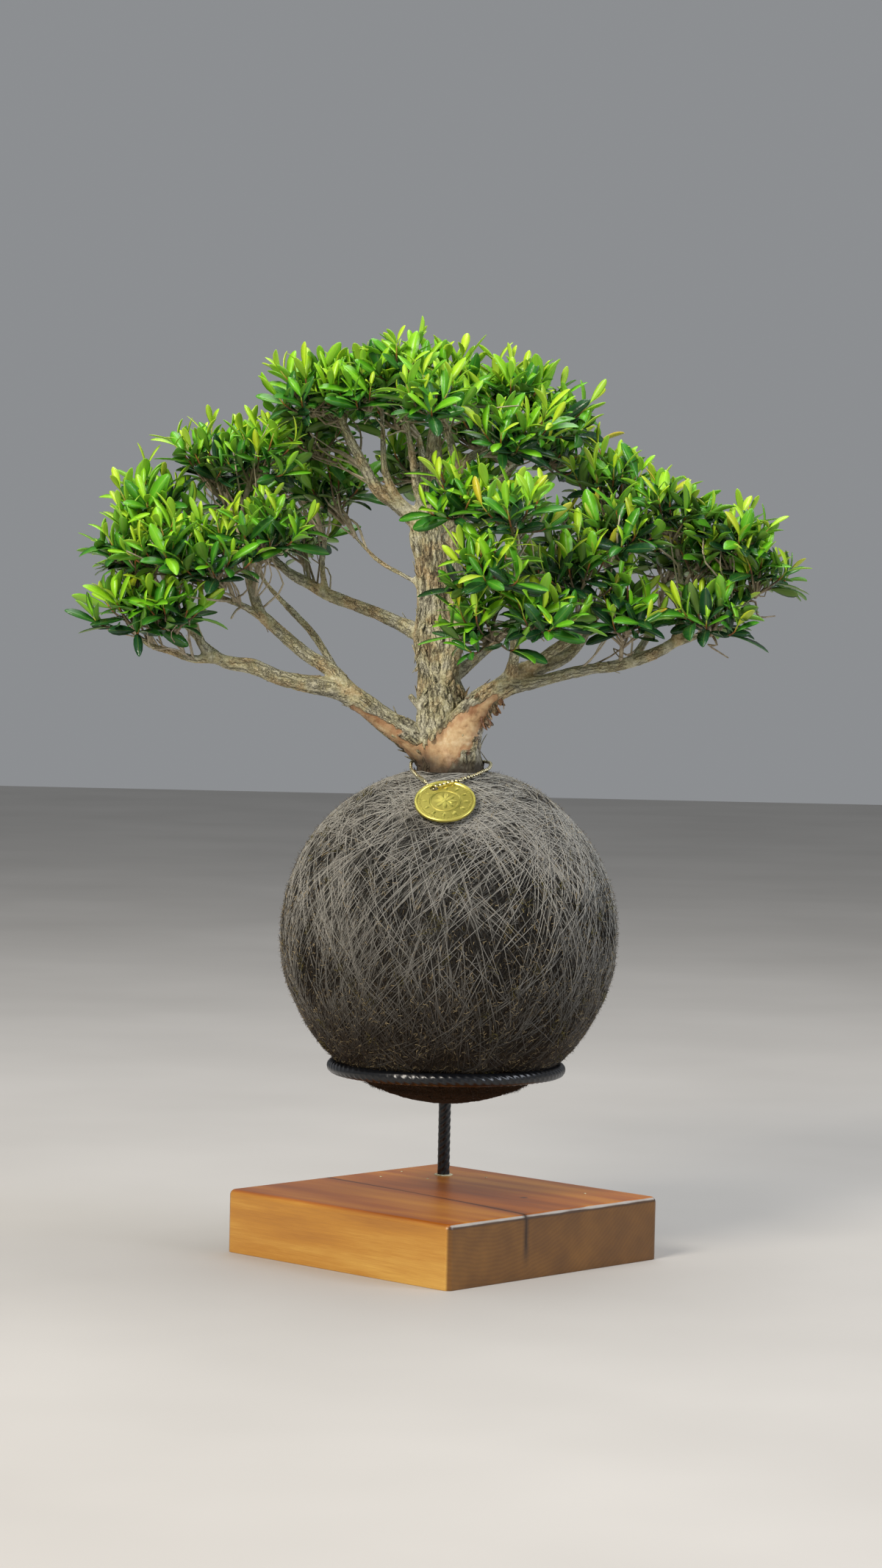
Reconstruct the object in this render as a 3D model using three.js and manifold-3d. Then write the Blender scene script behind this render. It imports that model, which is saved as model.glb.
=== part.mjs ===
// A small evergreen bonsai whose roots grow in a ball of soil and moss wound with thread. The ball
// rests on a ring of ribbed steel bar, and the ring's stem stands in a square block of wood.
// Millimetres, +Z up. The origin is the middle of the block's underside. The medal hangs at -Y.
import * as THREE from 'three';
import { mergeVertices } from 'three/addons/utils/BufferGeometryUtils.js';
import Module from 'manifold-3d';

const wasm = await Module();
wasm.setup();

// ---------------------------------------------------------------- driving dimensions

const CLEARANCE = 0.3; // gap that pieces keep where they touch

const BASE_SIDE = 184; // a planed board, cut square
const BASE_THICKNESS = 38.1;
const BASE_TURN = THREE.MathUtils.degToRad(-43.5); // one corner points forward
const BASE_CORNER = 4;
const BASE_ROUNDOVER = 3.5;

const BAR_RADIUS = 4;
const RING_RADIUS = 68; // to the middle of the bar
const STEM_Y = RING_RADIUS + 2 * BAR_RADIUS + CLEARANCE; // the stem is welded to the ring's back
const STEM_FOOT_Z = 14; // bottom of the blind hole in the block
const STEM_ABOVE_RING = 5;
const FILLER_RADIUS = 5.5;
const FILLER_DEPTH = 3;
const FILLER_CHAMFER = 0.4;
const WELD = { halfWidth: 6, halfDepth: 3, halfHeight: 6 };

const BALL_RADIUS = 101.7;
const BALL_Z = 194.5;
const THREAD_LAYER = 2.4;
const MOSS_LAYER = 7;
const BALL_OPENING = 22; // radius, where the trunk comes out
const BALL_BANDS = 10;
const BALL_SECTORS = 24;
const BALL_SINK = 0.4; // how far the thread gives where the ball sits on the ring
const RING_Z = BALL_Z
  - Math.sqrt((BALL_RADIUS + BAR_RADIUS - BALL_SINK) ** 2 - RING_RADIUS ** 2);

const CHAIN_RADIUS = 0.8;
const CHAIN_LIFT = 1.4; // the chain's middle above the thread
const CHAIN_STEPS = 64;
const CLASP = { width: 3, height: 2.2, lift: 0.3 };
const MEDAL_RADIUS = 18;
const MEDAL_THICKNESS = 1.6;
const MEDAL_RIM = { width: 1.6, height: 0.5, slope: 0.4 };
const MEDAL_BOSS = { radius: 9.5, slope: 0.6 };
const MEDAL_LIFT = 1.7;
const MEDAL_LATITUDE = THREE.MathUtils.degToRad(52.4);
const MEDAL_AZIMUTH = THREE.MathUtils.degToRad(-93.7);
const MEDAL_HOLE = { radius: 2.6, x: -7.2, y: 11.5 };

const LEAF = { length: 23, width: 8, fold: 1.8, widestAt: 0.6 };
const WHORL = { inset: 0.8, step: 2.4, lean: 0.75 }; // below the twig's end, apart, and forward
const TWIG = { root: 1.5, tip: 1, sag: 0.07 }; // radii, and the sag as a part of the span
const SIDE_TWIG = { root: 1.2, tip: 1, length: 27, firstAt: 0.2, nextAt: 0.35, lean: 0.6, lift: 0.25 };
const SIDE_TWIGS = 2;
const TWIG_GAP = CLEARANCE + 0.1; // from a twig's foot to the limb that it grows from
const SMALLEST_EDGE = 0.1; // finer steps where leaves and twigs join are smoothed away
const GOLDEN_ANGLE = Math.PI * (3 - Math.sqrt(5));
const UP = new THREE.Vector3(0, 0, 1);

// ---------------------------------------------------------------- the woody frame
// Each limb is a list of stations: x, y, z of the middle of the wood, and its radius.

const LIMBS = {
  trunk: [[-1, 0, 262, 13], [-1, 0, 290, 19.8], [-4, 2, 312, 17.5], [-7, 4, 332, 15],
    [-10, 7, 352, 12.6], [-12, 10, 372, 13.4], [-12, 12, 389, 12.8], [-14, 14, 411, 11.6],
    [-17, 16, 430, 11.2], [-18, 17, 447, 9.6], [-16, 18, 470, 6.4], [-15, 16, 498, 4.2],
    [-13, 13, 524, 2.2]],
  second_stem: [[-4, -2, 350, 6.4], [-1, -9, 367, 5.5], [1, -13, 389, 5.3], [-1, -17, 411, 4.9],
    [-3, -19, 435, 4.5], [-2, -21, 463, 4], [-3, -22, 478, 3], [-8, -21, 498, 2]],
  second_fork: [[-2, -21, 468, 3.3], [5, -19, 479, 2.9], [19, -12, 486, 2.6], [33, -5, 496, 2.1],
    [46, 2, 506, 1.6]],
  left_limb: [[-10, 0, 298, 11], [-22, 0, 309, 9.4], [-38, -4, 320, 7.8], [-56, -8, 334, 6.8],
    [-73, -10, 341, 5.8], [-91, -12, 344, 5], [-105, -14, 347, 4.8], [-120, -16, 353, 4.6],
    [-138, -18, 356, 4.3], [-148, -18, 362, 3.4], [-156, -17, 378, 2.6], [-161, -15, 396, 2],
    [-166, -12, 418, 1.4]],
  left_tip: [[-144, -18, 357, 3.2], [-156, -21, 357, 2.6], [-169, -23, 361, 2.2],
    [-180, -25, 364, 1.9], [-189, -27, 370, 1.6]],
  left_back: [[-136, -17, 356, 3], [-150, -3, 365, 2.4], [-164, 9, 379, 1.9], [-174, 17, 396, 1.4]],
  left_upper: [[-60, -8, 337, 5.4], [-73, -8, 351, 4.5], [-89, -7, 361, 4.2], [-105, -6, 374, 4],
    [-117, -5, 385, 3.5], [-122, -5, 398, 2.9], [-126, -5, 413, 2.3], [-129, -4, 431, 1.8],
    [-129, -3, 448, 1.4]],
  left_fork: [[-112, -6, 380, 2.9], [-127, -14, 389, 2.3], [-140, -20, 394, 1.9],
    [-152, -26, 402, 1.5]],
  left_thin: [[-68, -4, 345, 3], [-75, 6, 357, 2.4], [-86, 15, 373, 2.1], [-101, 25, 388, 1.9],
    [-114, 35, 401, 1.6], [-126, 46, 417, 1.3]],
  back_left: [[-14, 12, 371, 6.4], [-35, 34, 381, 4.8], [-50, 50, 387, 4.3], [-65, 64, 392, 4.1],
    [-81, 78, 398, 3.7], [-92, 86, 404, 3.4], [-104, 92, 410, 2.9], [-115, 96, 420, 2.2]],
  back_left_rise: [[-80, 77, 397, 2.5], [-83, 80, 412, 2], [-82, 82, 431, 1.6]],
  inner_twig: [[-18, 15, 402, 2], [-33, 20, 410, 1.5], [-46, 24, 417, 1.4], [-62, 31, 432, 1.2]],
  apex_left: [[-20, 17, 438, 6.4], [-34, 14, 450, 4.8], [-48, 9, 460, 4.2], [-58, 4, 476, 3.6],
    [-67, -2, 493, 2.9], [-73, -6, 506, 2.2]],
  apex_mid: [[-24, 16, 444, 4], [-37, 13, 456, 2.9], [-44, 10, 470, 2.3], [-46, 6, 492, 1.8],
    [-47, 3, 508, 1.4]],
  apex_front: [[-19, 13, 446, 4.4], [-25, 6, 462, 3], [-28, 1, 480, 2.4], [-32, -4, 502, 1.8],
    [-34, -6, 516, 1.4]],
  apex_back: [[-17, 20, 448, 4.6], [-20, 38, 462, 3.2], [-22, 56, 480, 2.2], [-25, 68, 496, 1.6]],
  back_top: [[-10, 18, 436, 4.6], [6, 33, 452, 3.4], [24, 44, 468, 2.5], [38, 52, 482, 1.8]],
  back_right: [[-6, 6, 344, 5.4], [8, 20, 356, 3.8], [17, 31, 364, 3.3], [28, 44, 374, 2.8],
    [42, 57, 392, 2.3], [54, 66, 411, 1.7]],
  right_limb: [[3, -4, 294, 14], [6, -11, 319, 10.6], [16, -14, 334, 8.4], [28, -16, 343, 7],
    [47, -20, 343, 4.3], [64, -22, 347, 3.8], [80, -24, 352, 3.6], [96, -26, 358, 3.6],
    [110, -28, 363, 3.8], [124, -28, 369, 3.5], [131, -28, 375, 2.8], [133, -28, 390, 2.1],
    [133, -27, 406, 1.7], [131, -26, 424, 1.3]],
  right_tip: [[128, -28, 372, 2.8], [143, -30, 377, 2], [156, -30, 386, 1.7],
    [168, -30, 395, 1.4], [178, -30, 403, 1.2]],
  right_back: [[104, -26, 361, 3], [112, -8, 371, 2.3], [120, 12, 385, 1.8], [124, 22, 396, 1.4]],
  right_upper: [[24, -15, 341, 6.4], [37, -14, 351, 6.2], [53, -10, 357, 5.4],
    [66, -8, 363, 4.5], [75, -5, 372, 3.4], [81, -2, 384, 2.6], [87, 4, 400, 1.9],
    [90, 9, 418, 1.4]],
  right_mid: [[42, -13, 355, 4.4], [53, -19, 363, 3.2], [70, -22, 375, 2.7],
    [81, -24, 385, 2.2], [92, -27, 397, 1.7], [98, -30, 412, 1.3]],
  right_front: [[33, -15, 350, 4.6], [35, -33, 365, 3.1], [34, -50, 381, 2.5],
    [32, -63, 399, 2], [34, -72, 418, 1.5]],
  cut_stub: [[-12, -1, 322, 3.4], [-20, -2, 330, 2.4], [-27, -3, 338, 2]],
};

// Each spray grows from a place along a limb, as a fraction of its stations, towards the middle of
// its leaves, and the sprays go round the crown from the far left to the right and the back.
const SPRAYS = [
  ['left_tip', 0.75, [-200, -24, 432]], ['left_tip', 1, [-207, -36, 397]],
  ['left_limb', 1, [-182, -8, 462]], ['left_fork', 1, [-172, -46, 430]],
  ['left_tip', 0.35, [-168, -46, 385]], ['left_upper', 0.86, [-152, -2, 486]],
  ['left_fork', 0.45, [-143, -46, 428]], ['left_upper', 1, [-119, -18, 484]],
  ['left_upper', 0.62, [-112, -36, 446]], ['left_thin', 1, [-136, 44, 466]],
  ['left_back', 1, [-188, 30, 430]], ['back_left_rise', 1, [-98, 92, 482]],
  ['back_left', 0.7, [-98, 118, 446]], ['back_left', 1, [-134, 102, 444]],
  ['apex_left', 1, [-100, -12, 528]], ['apex_left', 0.8, [-78, 14, 534]],
  ['apex_left', 0.55, [-93, 38, 504]], ['apex_mid', 1, [-62, -20, 536]],
  ['inner_twig', 1, [-78, 52, 470]], ['apex_front', 1, [-38, -10, 545]],
  ['trunk', 1, [-10, 4, 551]], ['second_stem', 1, [-18, -50, 522]],
  ['apex_back', 1, [-44, 78, 522]], ['apex_back', 0.6, [-30, 112, 488]],
  ['back_top', 0.9, [6, 88, 514]], ['second_fork', 0.75, [28, -4, 531]],
  ['second_fork', 1, [62, 0, 518]], ['second_fork', 0.45, [34, -50, 502]],
  ['back_top', 1, [64, 56, 498]], ['back_top', 0.6, [20, 104, 470]],
  ['second_stem', 0.62, [2, -68, 464]], ['right_front', 1, [34, -86, 458]],
  ['right_front', 0.8, [14, -94, 426]], ['right_front', 0.45, [12, -76, 390]],
  ['right_front', 0.6, [52, -78, 396]], ['right_mid', 0.55, [70, -60, 426]],
  ['right_mid', 1, [96, -46, 448]], ['right_upper', 1, [88, -4, 472]],
  ['right_limb', 0.55, [100, -48, 400]], ['right_limb', 1, [122, -34, 462]],
  ['right_limb', 0.88, [146, -16, 438]], ['right_tip', 0.7, [164, -32, 442]],
  ['right_tip', 1, [190, -30, 420]], ['right_tip', 0.3, [152, -44, 398]],
  ['right_back', 1, [130, 34, 434]], ['back_right', 1, [80, 74, 446]],
  ['back_right', 0.75, [56, 98, 424]],
];

// ---------------------------------------------------------------- finishes

const finish = (color, roughness, metalness = 0) =>
  new THREE.MeshStandardMaterial({ color, roughness, metalness });

const OILED_WOOD = finish(0x9a6127, 0.4);
const WOOD_FILLER = finish(0xd0c8a0, 0.7);
const BLACK_ENAMEL = finish(0x15171a, 0.3, 0.2);
const SOIL = finish(0x2c2118, 0.95);
const MOSS = finish(0x3a3a22, 0.95);
const THREAD = finish(0x575350, 0.85);
const BARK = finish(0x8f8468, 0.85);
const FOLIAGE = finish(0x6aa82a, 0.45);
const GILT = finish(0xd1b32c, 0.28, 1);

// ---------------------------------------------------------------- solids

// A geometry with its seams closed: each corner is one vertex, which has only its position.
function sewn(geometry) {
  geometry.deleteAttribute('normal');
  geometry.deleteAttribute('uv');
  return mergeVertices(geometry, 1e-4);
}

// A closed three.js geometry as a solid that can be joined and cut.
function solid(geometry) {
  const merged = sewn(geometry.clone());
  return new wasm.Manifold(new wasm.Mesh({
    numProp: 3,
    vertProperties: new Float32Array(merged.attributes.position.array),
    triVerts: new Uint32Array(merged.index.array),
  }));
}

// The geometry of a solid, with flat faces.
function geometryOf(shape) {
  const mesh = shape.getMesh();
  const geometry = new THREE.BufferGeometry();
  geometry.setAttribute('position', new THREE.BufferAttribute(mesh.vertProperties, 3));
  geometry.setIndex(new THREE.BufferAttribute(mesh.triVerts, 1));
  const flat = geometry.toNonIndexed();
  flat.computeVertexNormals();
  return flat;
}

const largestPiece = (shape) =>
  shape.decompose().reduce((best, piece) => (piece.volume() > best.volume() ? piece : best));

const part = (name, geometry, material) => {
  const mesh = new THREE.Mesh(geometry, material);
  mesh.name = name;
  return mesh;
};

// A round bar that tapers through its stations: a cylinder's rings are carried along the curve.
// A grown one is that much bigger all round, and at both ends.
function taperedBar(stations, sides, grow = 0) {
  const points = stations.map(([x, y, z]) => new THREE.Vector3(x, y, z));
  const beyond = (end, inner) => end.addScaledVector(end.clone().sub(inner).normalize(), grow);
  beyond(points[0], points[1]);
  beyond(points[points.length - 1], points[points.length - 2]);
  const curve = new THREE.CatmullRomCurve3(points, false, 'centripetal');
  const spans = stations.length - 1;
  const frames = curve.computeFrenetFrames(spans, false);
  const geometry = sewn(new THREE.CylinderGeometry(1, 1, 1, sides, spans));
  const position = geometry.attributes.position;
  const place = new THREE.Vector3();
  for (let i = 0; i < position.count; i += 1) {
    const ring = Math.round((position.getY(i) + 0.5) * spans);
    const along = curve.getUtoTmapping(ring / spans) * spans;
    const before = Math.min(Math.floor(along), spans - 1);
    const radius = grow + THREE.MathUtils.lerp(
      stations[before][3], stations[before + 1][3], along - before);
    place.copy(curve.getPointAt(ring / spans))
      .addScaledVector(frames.binormals[ring], position.getX(i) * radius)
      .addScaledVector(frames.normals[ring], position.getZ(i) * radius);
    position.setXYZ(i, place.x, place.y, place.z);
  }
  return geometry;
}

// ---------------------------------------------------------------- wooden block

// Where a point of the object lies in the turned block's own axes.
const inBlock = (x, y) => new THREE.Vector2(x, y).rotateAround(new THREE.Vector2(), -BASE_TURN);

const uprightCylinder = (radius, bottom, top, at, sides = 20) => {
  const geometry = new THREE.CylinderGeometry(radius, radius, top - bottom, sides);
  geometry.rotateX(Math.PI / 2);
  geometry.translate(at.x, at.y, (top + bottom) / 2);
  return geometry;
};

function baseBlock() {
  const half = BASE_SIDE / 2;
  const outline = new THREE.Shape();
  outline.moveTo(-half + BASE_CORNER, -half);
  outline.absarc(half - BASE_CORNER, -half + BASE_CORNER, BASE_CORNER, -Math.PI / 2, 0);
  outline.absarc(half - BASE_CORNER, half - BASE_CORNER, BASE_CORNER, 0, Math.PI / 2);
  outline.absarc(-half + BASE_CORNER, half - BASE_CORNER, BASE_CORNER, Math.PI / 2, Math.PI);
  outline.absarc(-half + BASE_CORNER, -half + BASE_CORNER, BASE_CORNER, Math.PI, Math.PI * 1.5);
  const rounded = new THREE.ExtrudeGeometry(outline, {
    depth: BASE_THICKNESS,
    bevelThickness: BASE_ROUNDOVER,
    bevelSize: BASE_ROUNDOVER,
    bevelOffset: -BASE_ROUNDOVER,
    bevelSegments: 3,
    curveSegments: 2,
  });
  rounded.translate(0, 0, -BASE_ROUNDOVER);
  const slab = new THREE.BoxGeometry(BASE_SIDE + 2, BASE_SIDE + 2, BASE_THICKNESS);
  slab.translate(0, 0, BASE_THICKNESS / 2);
  const stem = inBlock(0, STEM_Y);
  const hole = uprightCylinder(BAR_RADIUS + CLEARANCE, STEM_FOOT_Z - CLEARANCE,
    BASE_THICKNESS + 1, stem);
  const recess = uprightCylinder(FILLER_RADIUS + CLEARANCE, BASE_THICKNESS - FILLER_DEPTH,
    BASE_THICKNESS + 1, stem);
  return geometryOf(solid(rounded).intersect(solid(slab))
    .subtract(solid(hole)).subtract(solid(recess)));
}

// ---------------------------------------------------------------- steel stand

const atStem = { x: 0, y: STEM_Y };

const stemBar = (grow = 0) => uprightCylinder(BAR_RADIUS + grow, STEM_FOOT_Z,
  RING_Z + STEM_ABOVE_RING, atStem, 12);

const ringBar = (grow = 0) => {
  const geometry = new THREE.TorusGeometry(RING_RADIUS, BAR_RADIUS + grow, 8, 40);
  geometry.translate(0, 0, RING_Z);
  return geometry;
};

// The weld fills the wedge between the two bars, round the place where they touch.
function weldBead() {
  const bead = new THREE.SphereGeometry(1, 12, 8);
  bead.scale(WELD.halfWidth, WELD.halfDepth, WELD.halfHeight);
  bead.translate(0, (RING_RADIUS + STEM_Y) / 2, RING_Z);
  return geometryOf(largestPiece(solid(bead).subtract(solid(stemBar(CLEARANCE)))
    .subtract(solid(ringBar(CLEARANCE)))));
}

function stemFiller() {
  const bottom = BASE_THICKNESS - FILLER_DEPTH + CLEARANCE;
  const top = BASE_THICKNESS + CLEARANCE;
  const inner = BAR_RADIUS + CLEARANCE;
  const profile = [[inner, bottom], [FILLER_RADIUS, bottom], [FILLER_RADIUS, top - FILLER_CHAMFER],
    [inner + FILLER_CHAMFER, top], [inner, top], [inner, bottom]];
  const geometry = new THREE.LatheGeometry(profile.map(([r, z]) => new THREE.Vector2(r, z)), 20);
  geometry.rotateX(Math.PI / 2);
  geometry.translate(0, STEM_Y, 0);
  return geometry;
}

// ---------------------------------------------------------------- soil, moss and thread

// Points of a ball's outline from its bottom to the edge of its opening.
function ballArc(radius) {
  const widest = Math.PI - Math.asin(BALL_OPENING / radius);
  return Array.from({ length: BALL_BANDS + 1 }, (_, i) => {
    const turn = (widest * i) / BALL_BANDS;
    return new THREE.Vector2(i === 0 ? 0 : radius * Math.sin(turn), -radius * Math.cos(turn));
  });
}

function turnedBall(profile) {
  const geometry = new THREE.LatheGeometry(profile, BALL_SECTORS);
  geometry.rotateX(Math.PI / 2);
  geometry.translate(0, 0, BALL_Z);
  return geometry;
}

// A round shell, open at the top where the trunk comes out.
const ballShell = (outer, inner) => turnedBall([...ballArc(outer), ...ballArc(inner).reverse()]);

const THREAD_INNER = BALL_RADIUS - THREAD_LAYER;
const MOSS_OUTER = THREAD_INNER - CLEARANCE;
const MOSS_INNER = MOSS_OUTER - MOSS_LAYER;

// The soil fills the moss, flat under the opening, and the root stock stands in it.
function soilBall(rootStock) {
  const arc = ballArc(MOSS_INNER - CLEARANCE);
  const top = new THREE.Vector2(0, arc[arc.length - 1].y);
  return geometryOf(largestPiece(solid(turnedBall([...arc, top])).subtract(rootStock)));
}

// ---------------------------------------------------------------- trunk and limbs

function woodyFrame(grow = 0) {
  const bars = Object.entries(LIMBS).map(([name, stations]) => {
    const sides = name === 'trunk' ? 12 : 6;
    return solid(taperedBar(stations, sides, grow));
  });
  return wasm.Manifold.union(bars);
}

function placeOnLimb(name, along) {
  const stations = LIMBS[name];
  const spot = along * (stations.length - 1);
  const before = Math.min(Math.floor(spot), stations.length - 2);
  const [a, b] = [stations[before], stations[before + 1]];
  const point = new THREE.Vector3(...a).lerp(new THREE.Vector3(...b), spot - before);
  return { point, radius: THREE.MathUtils.lerp(a[3], b[3], spot - before) };
}

// ---------------------------------------------------------------- leafy sprays

const twig = (points, { root, tip }, sides) => solid(taperedBar(
  points.map((p, i) => [...p.toArray(), THREE.MathUtils.lerp(root, tip, i / (points.length - 1))]),
  sides));

// A leaf is folded a little along its midrib: a flattened tetrahedron whose lower edge is the
// midrib, from the stalk to the point, and whose upper edge runs across where the leaf is widest.
function leafBlade() {
  const geometry = sewn(new THREE.TetrahedronGeometry(Math.sqrt(3)));
  geometry.rotateZ(Math.PI / 4);
  geometry.scale(LEAF.length / Math.sqrt(8), LEAF.width / Math.sqrt(8), LEAF.fold / 2);
  const position = geometry.attributes.position;
  for (let i = 0; i < position.count; i += 1) {
    const onMidrib = Math.abs(position.getX(i)) > LEAF.length / 4;
    position.setX(i, onMidrib
      ? position.getX(i) + LEAF.length / 2
      : LEAF.length * LEAF.widestAt);
  }
  return geometry;
}
const BLADE = leafBlade();

function leaf(stalk, direction) {
  const geometry = BLADE.clone();
  const across = new THREE.Vector3().crossVectors(UP, direction).normalize();
  const face = new THREE.Vector3().crossVectors(direction, across);
  geometry.applyMatrix4(new THREE.Matrix4().makeBasis(direction, across, face).setPosition(stalk));
  return solid(geometry);
}

// Three leaves spread round a twig's end, each a little further down than the one before.
function whorl(end, along, phase) {
  const side = new THREE.Vector3().crossVectors(along, UP).normalize();
  return [0, 1, 2].map((k) => {
    const out = side.clone().applyAxisAngle(along, phase + (k * Math.PI * 2) / 3);
    const direction = along.clone().multiplyScalar(WHORL.lean).add(out).normalize();
    return leaf(end.clone().addScaledVector(along, -WHORL.inset - k * WHORL.step), direction);
  });
}

// A spray's wood: a main twig from the limb to the middle of the leaves, and side twigs round it.
function sprayWood([limb, along, target], index) {
  const root = placeOnLimb(limb, along).point;
  const tip = new THREE.Vector3(...target);
  const span = tip.clone().sub(root);
  const middle = root.clone().addScaledVector(span, 0.5);
  middle.z -= span.length() * TWIG.sag;
  const axis = span.clone().normalize();
  const ends = [{ end: tip, along: axis, phase: index }];
  const bars = [twig([root, middle, tip], TWIG, 4)];
  const side = new THREE.Vector3().crossVectors(axis, UP).normalize();
  for (let k = 0; k < SIDE_TWIGS; k += 1) {
    const from = middle.clone().lerp(tip, SIDE_TWIG.firstAt + k * SIDE_TWIG.nextAt);
    const out = side.clone().applyAxisAngle(axis, index + k * GOLDEN_ANGLE);
    const heading = axis.clone().multiplyScalar(SIDE_TWIG.lean).add(out)
      .addScaledVector(UP, SIDE_TWIG.lift).normalize();
    const end = from.clone().addScaledVector(heading, SIDE_TWIG.length);
    bars.push(twig([from, end], SIDE_TWIG, 3));
    ends.push({ end, along: heading, phase: index + k });
  }
  return { wood: bars, ends };
}

const boxesMeet = (a, b, gap) => [0, 1, 2].every(
  (k) => a.min[k] - gap < b.max[k] && b.min[k] - gap < a.max[k]);

const isClear = (shape, others) => {
  const box = shape.boundingBox();
  return others.every((other) => !boxesMeet(box, other.boundingBox(), CLEARANCE)
    || shape.minGap(other, CLEARANCE) >= CLEARANCE);
};

// Sprays in order: the main twigs first, so that no side twig or leaf crosses another spray's.
function leafySprays(frame, grownFrame) {
  const sprays = SPRAYS.map((row, index) => {
    const { wood, ends } = sprayWood(row, index);
    const main = largestPiece(wood[0].subtract(grownFrame));
    return { side: wood.slice(1), ends, shape: main };
  });
  const others = (spray) => [frame, ...sprays.filter((s) => s !== spray).map((s) => s.shape)];
  sprays.forEach((spray) => {
    const rest = others(spray);
    const kept = [spray.ends[0]];
    spray.side.forEach((bar, k) => {
      if (isClear(bar, rest)) {
        spray.shape = spray.shape.add(bar);
        kept.push(spray.ends[k + 1]);
      }
    });
    spray.ends = kept;
  });
  sprays.forEach((spray) => {
    const rest = others(spray);
    spray.ends.forEach(({ end, along, phase }) => {
      whorl(end, along, phase).filter((blade) => isClear(blade, rest)).forEach((blade) => {
        spray.shape = spray.shape.add(blade);
      });
    });
    spray.shape = largestPiece(spray.shape.simplify(SMALLEST_EDGE));
  });
  return sprays.map((spray, index) =>
    part(`leafy_spray_${String(index + 1).padStart(2, '0')}`, geometryOf(spray.shape), FOLIAGE));
}

// ---------------------------------------------------------------- chain, clasp and medal

// The medal lies on the ball: its own Z points away from the ball's middle, its own Y uphill, and
// its own origin is the middle of its underside.
function medalAxes() {
  const out = new THREE.Vector3(
    Math.cos(MEDAL_LATITUDE) * Math.cos(MEDAL_AZIMUTH),
    Math.cos(MEDAL_LATITUDE) * Math.sin(MEDAL_AZIMUTH),
    Math.sin(MEDAL_LATITUDE));
  const across = new THREE.Vector3().crossVectors(UP, out).normalize();
  const uphill = new THREE.Vector3().crossVectors(out, across);
  const middle = out.clone().multiplyScalar(BALL_RADIUS + MEDAL_LIFT);
  middle.z += BALL_Z;
  return new THREE.Matrix4().makeBasis(across, uphill, out).setPosition(middle);
}
const MEDAL_AXES = medalAxes();

const onMedal = (x, y, z) => new THREE.Vector3(x, y, z).applyMatrix4(MEDAL_AXES);

// A place on the thread at x and y, lifted off it by the chain's own lift.
const onBall = (x, y) =>
  new THREE.Vector3(x, y, BALL_Z + Math.sqrt((BALL_RADIUS + CHAIN_LIFT) ** 2 - x * x - y * y));

// The chain passes behind the trunk over the ball's opening, at x, y and z.
const behindTrunk = [
  [23.4, -4, 299.5], [21.6, 9, 300.6], [12.5, 19.5, 301.4], [-1, 23.4, 301.6],
  [-14.5, 20.5, 300.4], [-23.6, 10.5, 298], [-27.4, -2, 295.9],
].map((place) => new THREE.Vector3(...place));

// The chain from the clasp's lower end, up through the medal's hole and over its edge, along the
// front of the ball, up behind the trunk and down the left side to the clasp's upper end.
const CHAIN_ROUTE = [
  onMedal(-12.8, 22, -3.5), onMedal(-11.2, 18.6, -2.8), onMedal(-9.4, 15, -2),
  onMedal(-8, 12.6, -1), onMedal(-7.2, 11.5, 0.9), onMedal(-6.4, 12.2, 3),
  onMedal(-5, 15, 3.6), onMedal(-3.4, 18.6, 3.2), onMedal(-1.6, 21.6, 1.2),
  onMedal(0.8, 23.8, -1.2), onBall(3.4, -41), onBall(10.1, -34.1), onBall(15.6, -24.3),
  onBall(20.6, -14), ...behindTrunk, onBall(-26.6, -14), onBall(-24, -24), onBall(-20.8, -32.6),
];

function beadChain() {
  const section = new THREE.Shape();
  section.absarc(0, 0, CHAIN_RADIUS, 0, Math.PI * 2);
  return new THREE.ExtrudeGeometry(section, {
    steps: CHAIN_STEPS,
    curveSegments: 3,
    extrudePath: new THREE.CatmullRomCurve3(CHAIN_ROUTE, false, 'centripetal'),
  });
}

// The clasp joins the chain's two ends, and lies along the ball between them.
function chainClasp() {
  const from = CHAIN_ROUTE[0];
  const to = CHAIN_ROUTE[CHAIN_ROUTE.length - 1];
  const middle = from.clone().lerp(to, 0.5);
  const along = to.clone().sub(from).normalize();
  const out = middle.clone().sub(new THREE.Vector3(0, 0, BALL_Z)).normalize();
  const across = new THREE.Vector3().crossVectors(out, along).normalize();
  const geometry = new THREE.CapsuleGeometry(0.5, 1, 2, 8);
  geometry.rotateZ(-Math.PI / 2);
  geometry.computeBoundingBox();
  const size = geometry.boundingBox.getSize(new THREE.Vector3());
  const length = from.distanceTo(to) - 2 * CLEARANCE;
  geometry.scale(length / size.x, CLASP.width / size.y, CLASP.height / size.z);
  middle.addScaledVector(out, CLASP.lift);
  geometry.applyMatrix4(new THREE.Matrix4()
    .makeBasis(along, across, new THREE.Vector3().crossVectors(along, across))
    .setPosition(middle));
  return geometry;
}

// A struck medal: a raised rim and a raised round boss on a disc, with a hole near its edge.
function medal() {
  const top = MEDAL_THICKNESS;
  const rimTop = top + MEDAL_RIM.height;
  const rimInner = MEDAL_RADIUS - MEDAL_RIM.width;
  const profile = [[0, 0], [MEDAL_RADIUS, 0], [MEDAL_RADIUS, rimTop], [rimInner, rimTop],
    [rimInner - MEDAL_RIM.slope, top], [MEDAL_BOSS.radius, top],
    [MEDAL_BOSS.radius - MEDAL_BOSS.slope, rimTop], [0, rimTop]];
  const disc = new THREE.LatheGeometry(profile.map(([r, z]) => new THREE.Vector2(r, z)), 32);
  disc.rotateX(Math.PI / 2);
  const hole = uprightCylinder(MEDAL_HOLE.radius, -1, rimTop + 1, MEDAL_HOLE, 12);
  return geometryOf(solid(disc).subtract(solid(hole)));
}

// ---------------------------------------------------------------- the whole object

const wood = woodyFrame();
const grownWood = woodyFrame(TWIG_GAP);

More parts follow.
